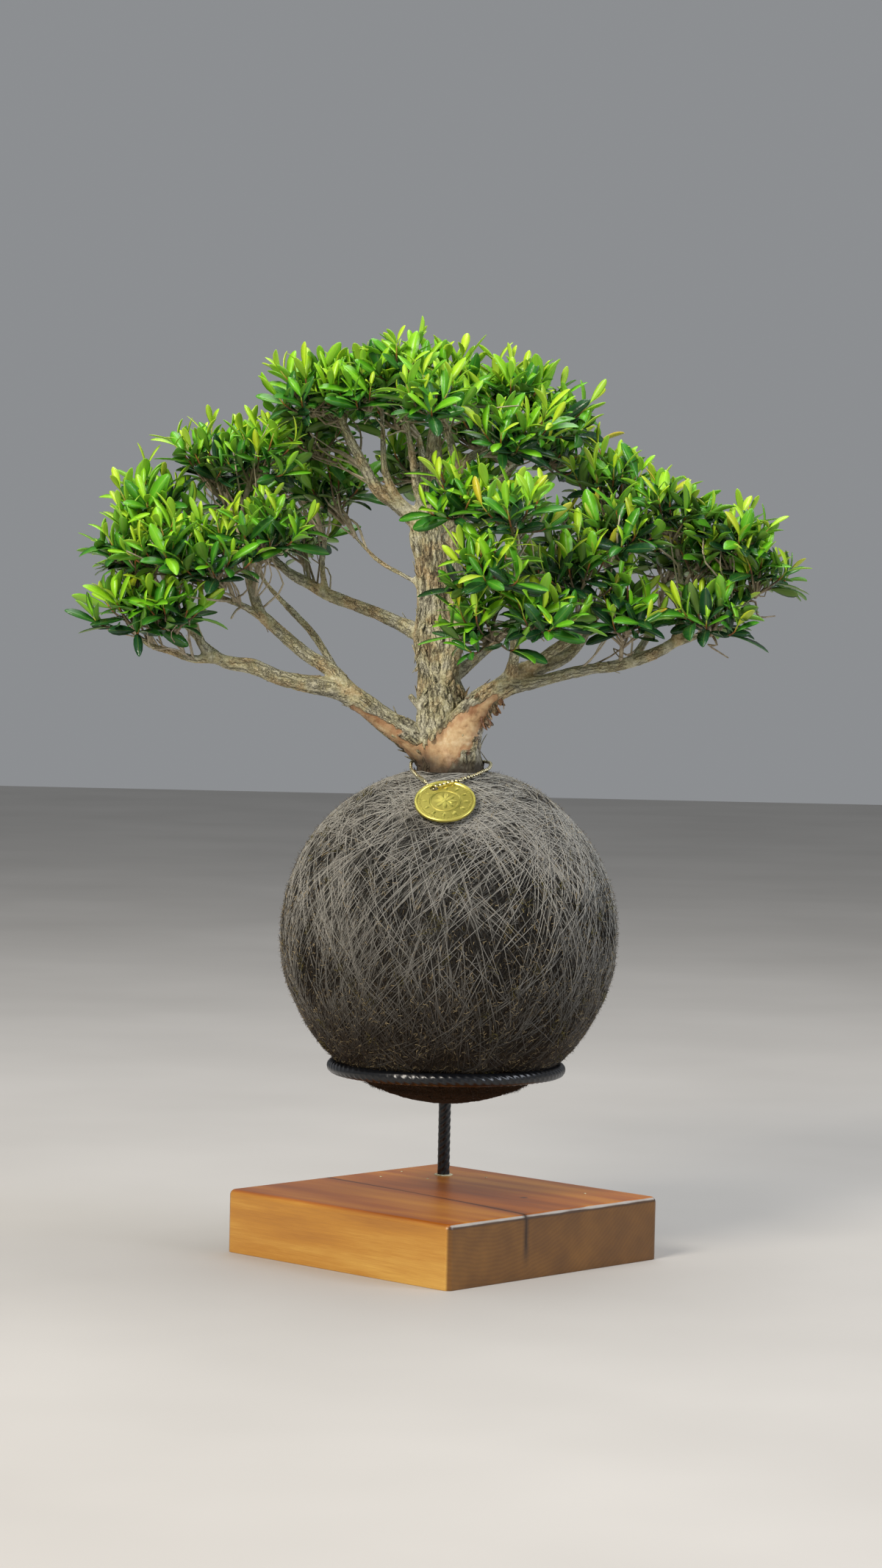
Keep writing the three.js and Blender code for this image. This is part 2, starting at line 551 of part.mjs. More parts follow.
const block = new THREE.Group();
block.rotation.z = BASE_TURN;
block.add(part('base_block', baseBlock(), OILED_WOOD));

const medalMesh = part('medal', medal(), GILT);
medalMesh.applyMatrix4(MEDAL_AXES);

const plant = new THREE.Group();
plant.add(
  block,
  part('stem_filler', stemFiller(), WOOD_FILLER),
  part('stem_bar', stemBar(), BLACK_ENAMEL),
  part('ring_bar', ringBar(), BLACK_ENAMEL),
  part('weld_bead', weldBead(), BLACK_ENAMEL),
  part('soil_ball', soilBall(grownWood), SOIL),
  part('moss_layer', ballShell(MOSS_OUTER, MOSS_INNER), MOSS),
  part('thread_wrap', ballShell(BALL_RADIUS, THREAD_INNER), THREAD),
  part('trunk_and_limbs', geometryOf(wood), BARK),
  ...leafySprays(wood, grownWood),
  part('bead_chain', beadChain(), GILT),
  part('chain_clasp', chainClasp(), GILT),
  medalMesh,
);

export default plant;
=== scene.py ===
"""A small evergreen bonsai in a thread-wound ball of moss, on a ring stand with a wooden block.

Metres, +Z up, with the origin in the middle of the block's underside. The medal is at the front,
towards -Y, and one corner of the block points that way.
"""
import math
from itertools import product

import bpy
import numpy as np
from mathutils import Matrix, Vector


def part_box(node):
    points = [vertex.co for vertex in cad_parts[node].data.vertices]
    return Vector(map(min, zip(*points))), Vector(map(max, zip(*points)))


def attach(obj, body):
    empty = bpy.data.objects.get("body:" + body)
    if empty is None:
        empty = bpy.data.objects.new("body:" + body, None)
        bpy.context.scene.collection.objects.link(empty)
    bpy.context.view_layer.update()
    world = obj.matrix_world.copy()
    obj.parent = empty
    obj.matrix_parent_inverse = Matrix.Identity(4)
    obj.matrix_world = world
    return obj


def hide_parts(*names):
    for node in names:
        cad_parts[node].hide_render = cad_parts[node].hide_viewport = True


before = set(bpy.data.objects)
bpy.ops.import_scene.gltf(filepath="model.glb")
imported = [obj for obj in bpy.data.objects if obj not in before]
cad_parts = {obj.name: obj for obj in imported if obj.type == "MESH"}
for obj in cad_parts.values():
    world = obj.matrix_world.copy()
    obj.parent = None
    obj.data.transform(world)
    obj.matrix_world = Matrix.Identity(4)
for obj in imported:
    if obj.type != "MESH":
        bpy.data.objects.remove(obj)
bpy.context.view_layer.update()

MM = 0.001
UP = np.array([0.0, 0.0, 1.0])
GOLDEN_ANGLE = math.pi * (3 - math.sqrt(5))

# ---------------------------------------------------------------- camera, floor and light

CAMERA_PLACE = (-0.006725, -2.42615, 0.39027)
CAMERA_PITCH = math.radians(2.4912)  # looks down by this much
CAMERA_ROLL = math.radians(1.24335)
FOCAL_PIXELS = 5500.0
PHOTO_HEIGHT = 2133.0  # pixels, the long side
SENSOR = 36.0


def set_camera():
    """The photograph's camera: a long lens, level with the foliage, rolled a little."""
    data = bpy.data.cameras.new("camera")
    data.sensor_width = SENSOR
    data.lens = FOCAL_PIXELS / PHOTO_HEIGHT * SENSOR
    data.clip_end = 100
    camera = bpy.data.objects.new("camera", data)
    ahead = np.array([0, math.cos(CAMERA_PITCH), -math.sin(CAMERA_PITCH)])
    level = np.array([1.0, 0, 0])
    above = np.cross(level, ahead)
    right = level * math.cos(CAMERA_ROLL) + above * math.sin(CAMERA_ROLL)
    top = np.cross(right, ahead)
    turn = Matrix([[right[k], top[k], -ahead[k]] for k in range(3)]).to_4x4()
    camera.matrix_world = Matrix.Translation(CAMERA_PLACE) @ turn
    bpy.context.scene.collection.objects.link(camera)
    bpy.context.scene.camera = camera


set_camera()

# ---------------------------------------------------------------- sizes

THREAD_LOW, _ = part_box("thread_wrap")
BALL_RADIUS = 0.1017
BALL_MIDDLE = np.array([0, 0, THREAD_LOW.z + BALL_RADIUS])
_, BASE_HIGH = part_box("base_block")
BASE_SIDE = 0.184
BASE_TOP = BASE_HIGH.z
BASE_TURN = math.radians(-43.5)
BASE_CORNER = 0.004
BASE_ROUNDOVER = 0.0035
RING_LOW, RING_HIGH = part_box("ring_bar")
RING_Z = (RING_LOW.z + RING_HIGH.z) / 2
RING_RADIUS = 0.068
BAR_RADIUS = 0.004
STEM_LOW, STEM_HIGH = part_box("stem_bar")
STEM_Y = (STEM_LOW.y + STEM_HIGH.y) / 2
MEDAL_LATITUDE = math.radians(52.4)
MEDAL_AZIMUTH = math.radians(-93.7)
MEDAL_LIFT = 0.0017  # of its underside and of the chain's middle line off the ball
CHAIN_LIFT = 0.0014

# Each limb is a list of stations in mm: x, y, z of the middle of the wood, and its radius.
LIMBS = {
    "trunk": [(-1, 0, 262, 13), (-1, 0, 290, 19.8), (-4, 2, 312, 17.5), (-7, 4, 332, 15),
              (-10, 7, 352, 12.6), (-12, 10, 372, 13.4), (-12, 12, 389, 12.8), (-14, 14, 411, 11.6),
              (-17, 16, 430, 11.2), (-18, 17, 447, 9.6), (-16, 18, 470, 6.4), (-15, 16, 498, 4.2),
              (-13, 13, 524, 2.2)],
    "second_stem": [(-4, -2, 350, 6.4), (-1, -9, 367, 5.5), (1, -13, 389, 5.3), (-1, -17, 411, 4.9),
                    (-3, -19, 435, 4.5), (-2, -21, 463, 4), (-3, -22, 478, 3), (-8, -21, 498, 2)],
    "second_fork": [(-2, -21, 468, 3.3), (5, -19, 479, 2.9), (19, -12, 486, 2.6), (33, -5, 496, 2.1),
                    (46, 2, 506, 1.6)],
    "left_limb": [(-10, 0, 298, 11), (-22, 0, 309, 9.4), (-38, -4, 320, 7.8), (-56, -8, 334, 6.8),
                  (-73, -10, 341, 5.8), (-91, -12, 344, 5), (-105, -14, 347, 4.8),
                  (-120, -16, 353, 4.6), (-138, -18, 356, 4.3), (-148, -18, 362, 3.4),
                  (-156, -17, 378, 2.6), (-161, -15, 396, 2), (-166, -12, 418, 1.4)],
    "left_tip": [(-144, -18, 357, 3.2), (-156, -21, 357, 2.6), (-169, -23, 361, 2.2),
                 (-180, -25, 364, 1.9), (-189, -27, 370, 1.6)],
    "left_back": [(-136, -17, 356, 3), (-150, -3, 365, 2.4), (-164, 9, 379, 1.9),
                  (-174, 17, 396, 1.4)],
    "left_upper": [(-60, -8, 337, 5.4), (-73, -8, 351, 4.5), (-89, -7, 361, 4.2), (-105, -6, 374, 4),
                   (-117, -5, 385, 3.5), (-122, -5, 398, 2.9), (-126, -5, 413, 2.3),
                   (-129, -4, 431, 1.8), (-129, -3, 448, 1.4)],
    "left_fork": [(-112, -6, 380, 2.9), (-127, -14, 389, 2.3), (-140, -20, 394, 1.9),
                  (-152, -26, 402, 1.5)],
    "left_thin": [(-68, -4, 345, 3), (-75, 6, 357, 2.4), (-86, 15, 373, 2.1), (-101, 25, 388, 1.9),
                  (-114, 35, 401, 1.6), (-126, 46, 417, 1.3)],
    "back_left": [(-14, 12, 371, 6.4), (-35, 34, 381, 4.8), (-50, 50, 387, 4.3), (-65, 64, 392, 4.1),
                  (-81, 78, 398, 3.7), (-92, 86, 404, 3.4), (-104, 92, 410, 2.9),
                  (-115, 96, 420, 2.2)],
    "back_left_rise": [(-80, 77, 397, 2.5), (-83, 80, 412, 2), (-82, 82, 431, 1.6)],
    "inner_twig": [(-18, 15, 402, 2), (-33, 20, 410, 1.5), (-46, 24, 417, 1.4), (-62, 31, 432, 1.2)],
    "apex_left": [(-20, 17, 438, 6.4), (-34, 14, 450, 4.8), (-48, 9, 460, 4.2), (-58, 4, 476, 3.6),
                  (-67, -2, 493, 2.9), (-73, -6, 506, 2.2)],
    "apex_mid": [(-24, 16, 444, 4), (-37, 13, 456, 2.9), (-44, 10, 470, 2.3), (-46, 6, 492, 1.8),
                 (-47, 3, 508, 1.4)],
    "apex_front": [(-19, 13, 446, 4.4), (-25, 6, 462, 3), (-28, 1, 480, 2.4), (-32, -4, 502, 1.8),
                   (-34, -6, 516, 1.4)],
    "apex_back": [(-17, 20, 448, 4.6), (-20, 38, 462, 3.2), (-22, 56, 480, 2.2), (-25, 68, 496, 1.6)],
    "back_top": [(-10, 18, 436, 4.6), (6, 33, 452, 3.4), (24, 44, 468, 2.5), (38, 52, 482, 1.8)],
    "back_right": [(-6, 6, 344, 5.4), (8, 20, 356, 3.8), (17, 31, 364, 3.3), (28, 44, 374, 2.8),
                   (42, 57, 392, 2.3), (54, 66, 411, 1.7)],
    "right_limb": [(3, -4, 294, 14), (6, -11, 319, 10.6), (16, -14, 334, 8.4), (28, -16, 343, 7),
                   (47, -20, 347, 4.3), (64, -22, 352, 3.8), (80, -24, 356, 3.6), (96, -26, 358.5, 3.6),
                   (110, -28, 363, 3.8), (124, -28, 369, 3.5), (131, -28, 375, 2.8),
                   (133, -28, 390, 2.1), (133, -27, 406, 1.7), (131, -26, 424, 1.3)],
    "right_tip": [(128, -28, 372, 2.8), (143, -30, 377, 2), (156, -30, 386, 1.7),
                  (168, -30, 395, 1.4), (178, -30, 403, 1.2)],
    "right_back": [(104, -26, 361, 3), (112, -8, 371, 2.3), (120, 12, 385, 1.8), (124, 22, 396, 1.4)],
    "right_upper": [(24, -15, 341, 6.4), (37, -14, 351, 6.2), (53, -10, 357, 5.4), (66, -8, 363, 4.5),
                    (75, -5, 372, 3.4), (81, -2, 384, 2.6), (87, 4, 400, 1.9), (90, 9, 418, 1.4)],
    "right_mid": [(42, -13, 355, 4.4), (53, -19, 363, 3.2), (70, -22, 375, 2.7), (81, -24, 385, 2.2),
                  (92, -27, 397, 1.7), (98, -30, 412, 1.3)],
    "right_front": [(33, -15, 350, 4.6), (35, -33, 365, 3.1), (34, -50, 381, 2.5), (32, -63, 399, 2),
                    (34, -72, 418, 1.5)],
    "cut_stub": [(-12, -1, 322, 3.4), (-20, -2, 330, 2.4), (-27, -3, 338, 2)],
}

# Each spray grows from a place along a limb, as a fraction of its stations, towards the middle of
# its leaves, in mm. The sprays are in the frame's order: from the far left round to the right.
SPRAYS = [
    ("left_tip", 0.75, (-194, -24, 434)), ("left_tip", 1, (-191, -36, 397)),
    ("left_limb", 1, (-182, -8, 462)), ("left_fork", 1, (-172, -46, 430)),
    ("left_tip", 0.35, (-172, -44, 399)), ("left_upper", 0.86, (-151, -2, 490)),
    ("left_fork", 0.45, (-143, -46, 428)), ("left_upper", 1, (-118, -18, 491)),
    ("left_upper", 0.62, (-112, -36, 446)), ("left_thin", 1, (-136, 44, 466)),
    ("left_back", 1, (-188, 30, 430)), ("back_left_rise", 1, (-98, 92, 482)),
    ("back_left", 0.7, (-98, 118, 446)), ("back_left", 1, (-134, 102, 444)),
    ("apex_left", 1, (-94, -12, 523)), ("apex_left", 0.8, (-78, 14, 526)),
    ("apex_left", 0.55, (-93, 38, 504)), ("apex_mid", 1, (-62, -20, 528)),
    ("inner_twig", 1, (-78, 52, 470)), ("apex_front", 1, (-38, -10, 543)),
    ("trunk", 1, (0, 4, 537)), ("second_stem", 1, (-18, -50, 522)),
    ("apex_back", 1, (-44, 78, 522)), ("apex_back", 0.6, (-30, 112, 488)),
    ("back_top", 0.9, (6, 88, 514)), ("second_fork", 0.75, (28, -4, 531)),
    ("second_fork", 1, (60, 0, 515)), ("second_fork", 0.45, (34, -50, 502)),
    ("back_top", 1, (64, 56, 498)), ("back_top", 0.6, (20, 104, 470)),
    ("second_stem", 0.62, (2, -68, 464)), ("right_front", 1, (34, -86, 458)),
    ("right_front", 0.8, (14, -94, 426)), ("right_front", 0.45, (12, -76, 390)),
    ("right_front", 0.6, (52, -78, 396)), ("right_mid", 0.55, (70, -60, 426)),
    ("right_mid", 1, (96, -46, 448)), ("right_upper", 1, (91, -4, 478)),
    ("right_limb", 0.55, (100, -48, 400)), ("right_limb", 1, (122, -34, 462)),
    ("right_limb", 0.88, (146, -16, 438)), ("right_tip", 0.7, (161, -32, 447)),
    ("right_tip", 1, (176, -30, 421)), ("right_tip", 0.3, (152, -44, 398)),
    ("right_back", 1, (130, 34, 434)), ("back_right", 1, (80, 74, 446)),
    ("back_right", 0.75, (56, 98, 424)),
]

# ---------------------------------------------------------------- numbers


def unit(vectors):
    """The same directions, each of length one."""
    return vectors / np.linalg.norm(vectors, axis=-1, keepdims=True)


def around(count):
    """Equal turns round a circle, in radians."""
    return np.linspace(0, 2 * np.pi, count, endpoint=False)


def smooth_between(low, high, x):
    """0 below the low value, 1 above the high one, and a smooth S between them."""
    share = np.clip((x - low) / (high - low), 0, 1)
    return share * share * (3 - 2 * share)


LATTICE = 32  # noise repeats after so many units


def noise(places, seed):
    """Random values from 0 to 1 on a lattice one unit apart, each blended with the next along
    all three axes by the same smooth S."""
    lattice = np.random.default_rng(seed).random((LATTICE, LATTICE, LATTICE))
    cell = np.floor(places).astype(int)
    share = places - cell
    share = share * share * (3 - 2 * share)
    total = np.zeros(places.shape[:-1])
    for corner in product((0, 1), repeat=3):
        weight = np.prod(np.where(corner, share, 1 - share), axis=-1)
        x, y, z = np.moveaxis((cell + corner) % LATTICE, -1, 0)
        total += weight * lattice[x, y, z]
    return total


def rough_noise(places, seed, octaves=3):
    """Noise with finer and fainter noise added: each octave has half the size and half the height."""
    total = sum(noise(places * 2.0**k, seed + k) / 2**k for k in range(octaves))
    return total / (2 - 2.0 ** (1 - octaves))


def smooth_path(points, count):
    """A curve through the points, at equal steps of their distance: between two points it is the
    cubic whose slopes at both ends are the average slopes of the neighbours."""
    points = np.asarray(points, float)
    gaps = np.linalg.norm(np.diff(points[:, :3], axis=0), axis=1)
    at = np.concatenate([[0], np.cumsum(gaps)])
    slopes = np.gradient(points, at, axis=0)
    steps = np.linspace(0, at[-1], count)
    k = np.clip(np.searchsorted(at, steps, side="right") - 1, 0, len(at) - 2)
    gap = (at[k + 1] - at[k])[:, None]
    s = (steps - at[k])[:, None] / gap
    return (
        (2 * s**3 - 3 * s**2 + 1) * points[k]
        + (s**3 - 2 * s**2 + s) * gap * slopes[k]
        + (3 * s**2 - 2 * s**3) * points[k + 1]
        + (s**3 - s**2) * gap * slopes[k + 1]
    )


# ---------------------------------------------------------------- shapes


class Shape:
    """Points, a list of (finish number, faces), and marks: values at each point that finishes read."""

    def __init__(self, points, faces, marks):
        self.points = points.reshape(-1, 3)
        self.faces = faces
        self.marks = marks


def joined(shapes):
    """Several shapes as one. A mark that a shape lacks is zero there."""
    marks = {}
    for mark in sorted({m for s in shapes for m in s.marks}):
        width = next(s.marks[mark].shape[1:] for s in shapes if mark in s.marks)
        marks[mark] = np.concatenate(
            [s.marks.get(mark, np.zeros((len(s.points), *width))) for s in shapes])
    starts = np.cumsum([0] + [len(s.points) for s in shapes])
    faces = [(finish, f + start) for s, start in zip(shapes, starts) for finish, f in s.faces]
    return Shape(np.concatenate([s.points for s in shapes]), faces, marks)


def bars(paths, radii, sides, facing, closed=False, finish=0, **marks):
    """Round bars along many paths at once, as (bar, station, xyz). At each station the points stand
    at equal turns round the path, at the given radii, and the first one is on the facing side. A
    closed path joins its own start, and an open one gets a face over each end."""
    count, stations = paths.shape[:2]
    if closed:
        along = unit(np.roll(paths, -1, 1) - np.roll(paths, 1, 1))
    else:
        along = unit(np.gradient(paths, axis=1))
    across = unit(np.cross(along, np.broadcast_to(facing, paths.shape)))
    upward = np.cross(across, along)
    turns = around(sides)[:, None]
    spokes = np.cos(turns) * upward[:, :, None] + np.sin(turns) * across[:, :, None]
    grid = (count, stations, sides)
    radii = np.broadcast_to(radii, grid)[..., None]
    points = paths[:, :, None] + radii * spokes
    marks = {m: np.broadcast_to(v, grid).ravel() for m, v in marks.items()}
    return Shape(points, ring_faces(grid, closed, finish), marks)


def ring_faces(grid, closed, finish=0):
    """Four-sided faces between rings of points, numbered as (bar, station, side)."""
    index = np.arange(np.prod(grid)).reshape(grid)
    here = index if closed else index[:, :-1]
    there = np.roll(index, -1, 1) if closed else index[:, 1:]
    walls = np.stack([here, np.roll(here, -1, 2), np.roll(there, -1, 2), there], -1)
    faces = [(finish, walls.reshape(-1, 4))]
    if not closed:
        faces += [(finish, index[:, 0, ::-1]), (finish, index[:, -1])]
    return faces


def turned(profile, sides, height=None):
    """A closed shape turned about Z: the profile's (radius, z) rows run from the middle of the
    underside, out, up and back in to the middle of the top. height adds to z, as (row, side)."""
    turns = around(sides)
    radius, z = (np.array(column)[:, None] for column in zip(*profile))
    z = z + (0 if height is None else height)
    spread = np.broadcast_to(z, (len(profile), sides))
    points = np.stack([radius * np.cos(turns), radius * np.sin(turns), spread], -1)
    return Shape(points, ring_faces((1, len(profile), sides), False), {})


ASKEW = (0.36, -0.55, 0.75)  # no limb or twig runs this way


def square_to(paths):
    """A direction square to each bar's overall run, for bars to face."""
    run = paths[:, -1:] - paths[:, :1]
    return unit(np.cross(run, ASKEW))


def in_metres(rows):
    """A profile whose rows are given in mm."""
    return [(radius * MM, z * MM) for radius, z in rows]


# ---------------------------------------------------------------- pieces


def piece(name, shape, finishes, slot, *stands_for):
    """Puts a shape in the scene as one piece that rides with the object's only body."""
    mesh = bpy.data.meshes.new(name)
    corners = np.concatenate([f.ravel() for _, f in shape.faces])
    counts = np.concatenate([np.full(len(f), f.shape[1]) for _, f in shape.faces])
    finish = np.concatenate([np.full(len(f), n) for n, f in shape.faces])
    mesh.vertices.add(len(shape.points))
    mesh.vertices.foreach_set("co", shape.points.astype(np.float32).ravel())
    mesh.loops.add(len(corners))
    mesh.loops.foreach_set("vertex_index", corners.astype(np.int32))
    mesh.polygons.add(len(counts))
    mesh.polygons.foreach_set("loop_start", (np.cumsum(counts) - counts).astype(np.int32))
    mesh.update(calc_edges=True)
    mesh.polygons.foreach_set("material_index", finish.astype(np.int32))
    mesh.shade_smooth()
    for mark, values in shape.marks.items():
        vector = values.ndim == 2
        kind = "FLOAT_VECTOR" if vector else "FLOAT"
        store = mesh.attributes.new(mark, kind, "POINT").data
        store.foreach_set("vector" if vector else "value", values.astype(np.float32).ravel())
    for material in finishes:
        mesh.materials.append(material)
    thing = bpy.data.objects.new(name, mesh)
    bpy.context.scene.collection.objects.link(thing)
    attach(thing, "root")
    if stands_for:
        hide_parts(*stands_for)
    return thing


def settle(thing, kind, **settings):
    """Adds a modifier and makes its result the piece's own mesh."""
    modifier = thing.modifiers.new(kind.lower(), kind)
    for name, value in settings.items():
        setattr(modifier, name, value)
    seen = thing.evaluated_get(bpy.context.evaluated_depsgraph_get())
    mesh = bpy.data.meshes.new_from_object(seen)
    thing.modifiers.clear()
    thing.data = mesh


def cut(thing, cutter):
    """Cuts a shape out of a piece."""
    tool = piece(thing.name + "_cutter", cutter, [], "oiled_wood")
    settle(thing, "BOOLEAN", operation="DIFFERENCE", solver="EXACT", object=tool)
    bpy.data.objects.remove(tool)


# ---------------------------------------------------------------- finishes

GROWTH_RING = 0.0024  # one year's wood in the board
SIDE_VEINS = 11  # on each half of a leaf
LOW_SHADE_TOP, LOW_SHADE_FULL = RING_Z + 0.112, RING_Z + 0.008  # heights where painted shade and warm bounce light begin to darken and brown the ball, and where they are full
FOOT_SHADE_TOP, FOOT_SHADE_FULL = 0.292, 0.281  # and the heights where painted shade darkens the trunk's foot next to the ball


def srgb(code):
    """A colour from its sRGB hex value, in linear light."""
    levels = [int(code[k:k + 2], 16) / 255 for k in (1, 3, 5)]
    linear = [v / 12.92 if v <= 0.04045 else ((v + 0.055) / 1.055) ** 2.4 for v in levels]
    return (*linear, 1.0)


def feed(socket, value):
    """Links another node's output to a socket, or sets it to a hex colour or to a plain value."""
    if isinstance(value, bpy.types.NodeSocket):
        socket.id_data.links.new(value, socket)
    else:
        socket.default_value = srgb(value) if isinstance(value, str) else value


def add(tree, kind, *inputs, stops=(), give=None, **named):
    """Adds a shader node and gives one of its outputs: the one that give names, or else the first
    in use. Inputs without a name go to the sockets in use, in their order. A name with a capital
    letter is a socket's, with _ for a space, and any other name is a setting's. stops are a colour
    ramp's places and colours. A pattern's Scale is how many of its features lie in a metre."""
    node = tree.nodes.new("ShaderNode" + kind)
    for name, value in named.items():
        if name[0].islower():
            setattr(node, name, value)
    for socket, value in zip([s for s in node.inputs if s.enabled], inputs):
        feed(socket, value)
    for name, value in named.items():
        if name[0].isupper():
            feed(node.inputs[name.replace("_", " ")], value)
    for k, (place, code) in enumerate(stops):
        band = node.color_ramp.elements
        stop = band[k] if k < 2 else band.new(place)
        stop.position = place
        stop.color = srgb(code)
    return node.outputs[give] if give else next(s for s in node.outputs if s.enabled)


def new_material(name):
    """A new material, its tree of nodes, and the shaded point's place on the object."""
    material = bpy.data.materials.new(name)
    material.use_nodes = True
    return material, material.node_tree, add(material.node_tree, "TexCoord", give="Object")


def finished(material, **sockets):
    """The material, with its shader's named sockets fed: a name has _ for each space."""
    shader = material.node_tree.nodes["Principled BSDF"]
    for name, value in sockets.items():
        feed(shader.inputs[name.replace("_", " ")], value)
    return material


def board_colours(tree, own, wander, fibre):
    """A board's colours on its sides, top and ends. Growth rings stand round a pith that lies above
    and beside the board, along its X. Broad bands are 23 mm across."""
    pith = add(tree, "Mapping", own, Location=(0, 0.06, -0.15), Scale=(0, 1, 1))
    distance = add(tree, "VectorMath", pith, operation="LENGTH")
    bent = add(tree, "Math", wander, 0.008, distance, operation="MULTIPLY_ADD")
    ring = add(tree, "Math", bent, 2 * math.pi / GROWTH_RING, operation="MULTIPLY")
    wave = add(tree, "Math", add(tree, "Math", ring, operation="SINE"), 0.5, 0.5,
               operation="MULTIPLY_ADD")
    broad = add(tree, "TexNoise", add(tree, "Mapping", own, Scale=(5, 44, 44)), Scale=1.0, Detail=3.0)
    tone = add(tree, "Math", broad, 1.1, -0.2, operation="MULTIPLY_ADD")
    tone = add(tree, "Math", fibre, 0.3, tone, operation="MULTIPLY_ADD")
    along_tone = add(tree, "Math", wave, 0.02, tone, operation="MULTIPLY_ADD")
    calm = add(tree, "Math", tone, 0.45, 0.28, operation="MULTIPLY_ADD")
    end_tone = add(tree, "Math", wave, 0.06, calm, operation="MULTIPLY_ADD")
    # The top's stops are darker and redder than the sides': partly the wood's own colour, partly
    # painted shade from the ball above.
    return [add(tree, "ValToRGB", shade, stops=stops) for shade, stops in (
        (along_tone, ((0.25, "#a0682a"), (0.5, "#bd8432"), (0.75, "#d9ab52"))),
        (along_tone, ((0.25, "#793c06"), (0.5, "#a75b0a"), (0.75, "#c98322"))),
        (end_tone, ((0.3, "#4a2d0d"), (0.55, "#6e4716"), (0.8, "#8c5f22"))))]


def board_faces(tree, wander):
    """Shares from 0 to 1 of a board's end faces and top, of a dark line of painted shade along the end
    grain's upper edge, and of a painted highlight on that rounded edge, in patches."""
    normal = add(tree, "NewGeometry", give="Normal")
    ends_way = (math.cos(BASE_TURN), math.sin(BASE_TURN), 0)
    facing_end = add(tree, "VectorMath", normal, ends_way, operation="DOT_PRODUCT")
    end_share = add(tree, "Math", facing_end, operation="ABSOLUTE")
    is_end = add(tree, "ValToRGB", end_share, stops=((0.4, "#000000"), (0.7, "#ffffff")))
    upness = add(tree, "SeparateXYZ", normal, give="Z")
    is_top = add(tree, "ValToRGB", upness, stops=((0.45, "#000000"), (0.9, "#ffffff")))
    near_top = add(tree, "MapRange", upness, 0.02, 0.3, To_Max=0.7)
    # Painted shade: a dark line along the end face just under its rounded top edge.
    painted_edge_shade = add(tree, "Math", is_end, near_top, operation="MULTIPLY")
    upward = add(tree, "Math", upness, 0.0, operation="MAXIMUM")
    edge = add(tree, "Math", end_share, upward, operation="MULTIPLY")
    # Painted highlight: the rounded edge above the end grain, pale in patches.
    patchy = add(tree, "Math", wander, 0.3, edge, operation="MULTIPLY_ADD")
    painted_edge_highlight = add(tree, "MapRange", patchy, 0.555, 0.65, To_Max=0.7)
    return is_end, is_top, painted_edge_shade, painted_edge_highlight


def board_marks(tree, own, wander):
    """Shares of a soft dark stain along the crack and down the end grain, where it is 4 mm wide, and
    of the dark round a filled nail hole, 5 mm across."""
    x, y, z = add(tree, "SeparateXYZ", own).node.outputs
    bowed = add(tree, "Math", x, -CRACK_BOW, -CRACK_SLOPE, operation="MULTIPLY_ADD")
    line = add(tree, "Math", x, bowed, y, operation="MULTIPLY_ADD")
    away = add(tree, "Math", line, -CRACK_Y, operation="ADD")
    away = add(tree, "Math", away, operation="ABSOLUTE")
    ragged = add(tree, "Math", wander, -0.004, away, operation="MULTIPLY_ADD")
    streak = add(tree, "MapRange", ragged, 0.0016, -0.0024, To_Max=0.9,
                 interpolation_type="SMOOTHSTEP")
    height = add(tree, "MapRange", z, 0.006, 0.020)
    stain = add(tree, "Math", streak, height, operation="MULTIPLY")
    from_nail = add(tree, "VectorMath", own, (*NAIL, BASE_TOP), operation="DISTANCE")
    return stain, add(tree, "MapRange", from_nail, 0.0029, 0.0016, To_Max=0.85)


def oiled_wood():
    """A planed board of reddish hardwood, oiled: honey colour along the grain, darker and redder on
    top, partly as painted shade, and darker where the end grain drinks the oil, with growth rings, a
    dark stain along its crack, a painted pale highlight on the rounded edge above the end grain and
    a dark line of painted shade under it. Its fibres and pores are 12 mm long and drawn 0.4 mm across,
    which is about twice the real width. What bends the rings and frays the marks is 30 mm wide."""
    material, tree, place = new_material("oiled hardwood")
    own = add(tree, "Mapping", place, Rotation=(0, 0, -BASE_TURN))
    wander = add(tree, "TexNoise", add(tree, "Mapping", own, Scale=(6, 34, 34)), Scale=1.0, Detail=3.0)
    fibre = add(tree, "TexNoise", add(tree, "Mapping", own, Scale=(80, 2400, 2400)), Scale=1.0,
                Detail=4.0, Roughness=0.6)
    colour, top, ends = board_colours(tree, own, wander, fibre)
    is_end, is_top, painted_edge_shade, painted_edge_highlight = board_faces(tree, wander)
    stain, nail = board_marks(tree, own, wander)
    # The pale edge is a painted highlight and the dark line under it is painted shade.
    for share, over in ((is_end, ends), (is_top, top), (painted_edge_shade, "#2b2019"), (painted_edge_highlight, "#c4c3bd"),
                        (stain, "#2b180b"), (nail, "#33261b")):
        colour = add(tree, "Mix", share, colour, over, data_type="RGBA")
    gloss = add(tree, "MapRange", fibre, To_Min=0.3, To_Max=0.5)
    bump = add(tree, "Bump", Height=fibre, Strength=0.12, Distance=0.0004)
    return finished(material, Base_Color=colour, Roughness=gloss, Normal=bump, Coat_Weight=0.15,
                    Coat_Roughness=0.3)


def black_enamel():
    """Black gloss enamel brushed over ribbed steel: wet-looking, with a faint ripple 3 mm wide."""
    material, tree, place = new_material("black gloss enamel")
    ripple = add(tree, "TexNoise", place, Scale=330.0, Detail=2.0)
    bump = add(tree, "Bump", Height=ripple, Strength=0.25, Distance=0.0003)
    return finished(material, Base_Color="#0b0d11", Roughness=0.34, Coat_Weight=0.3,
                    Coat_Roughness=0.16, Specular_IOR_Level=0.35, Normal=bump)


def wood_filler():
    """Pale wood filler, spread by hand: chalky, with smears 2.4 mm wide."""
    material, tree, place = new_material("pale wood filler")
    smear = add(tree, "TexNoise", place, Scale=420.0, Detail=5.0)
    colour = add(tree, "ValToRGB", smear, stops=((0.3, "#a99f78"), (0.6, "#d9d3b2")))
    bump = add(tree, "Bump", Height=smear, Strength=0.5, Distance=0.0004)
    return finished(material, Base_Color=colour, Roughness=0.8, Normal=bump)


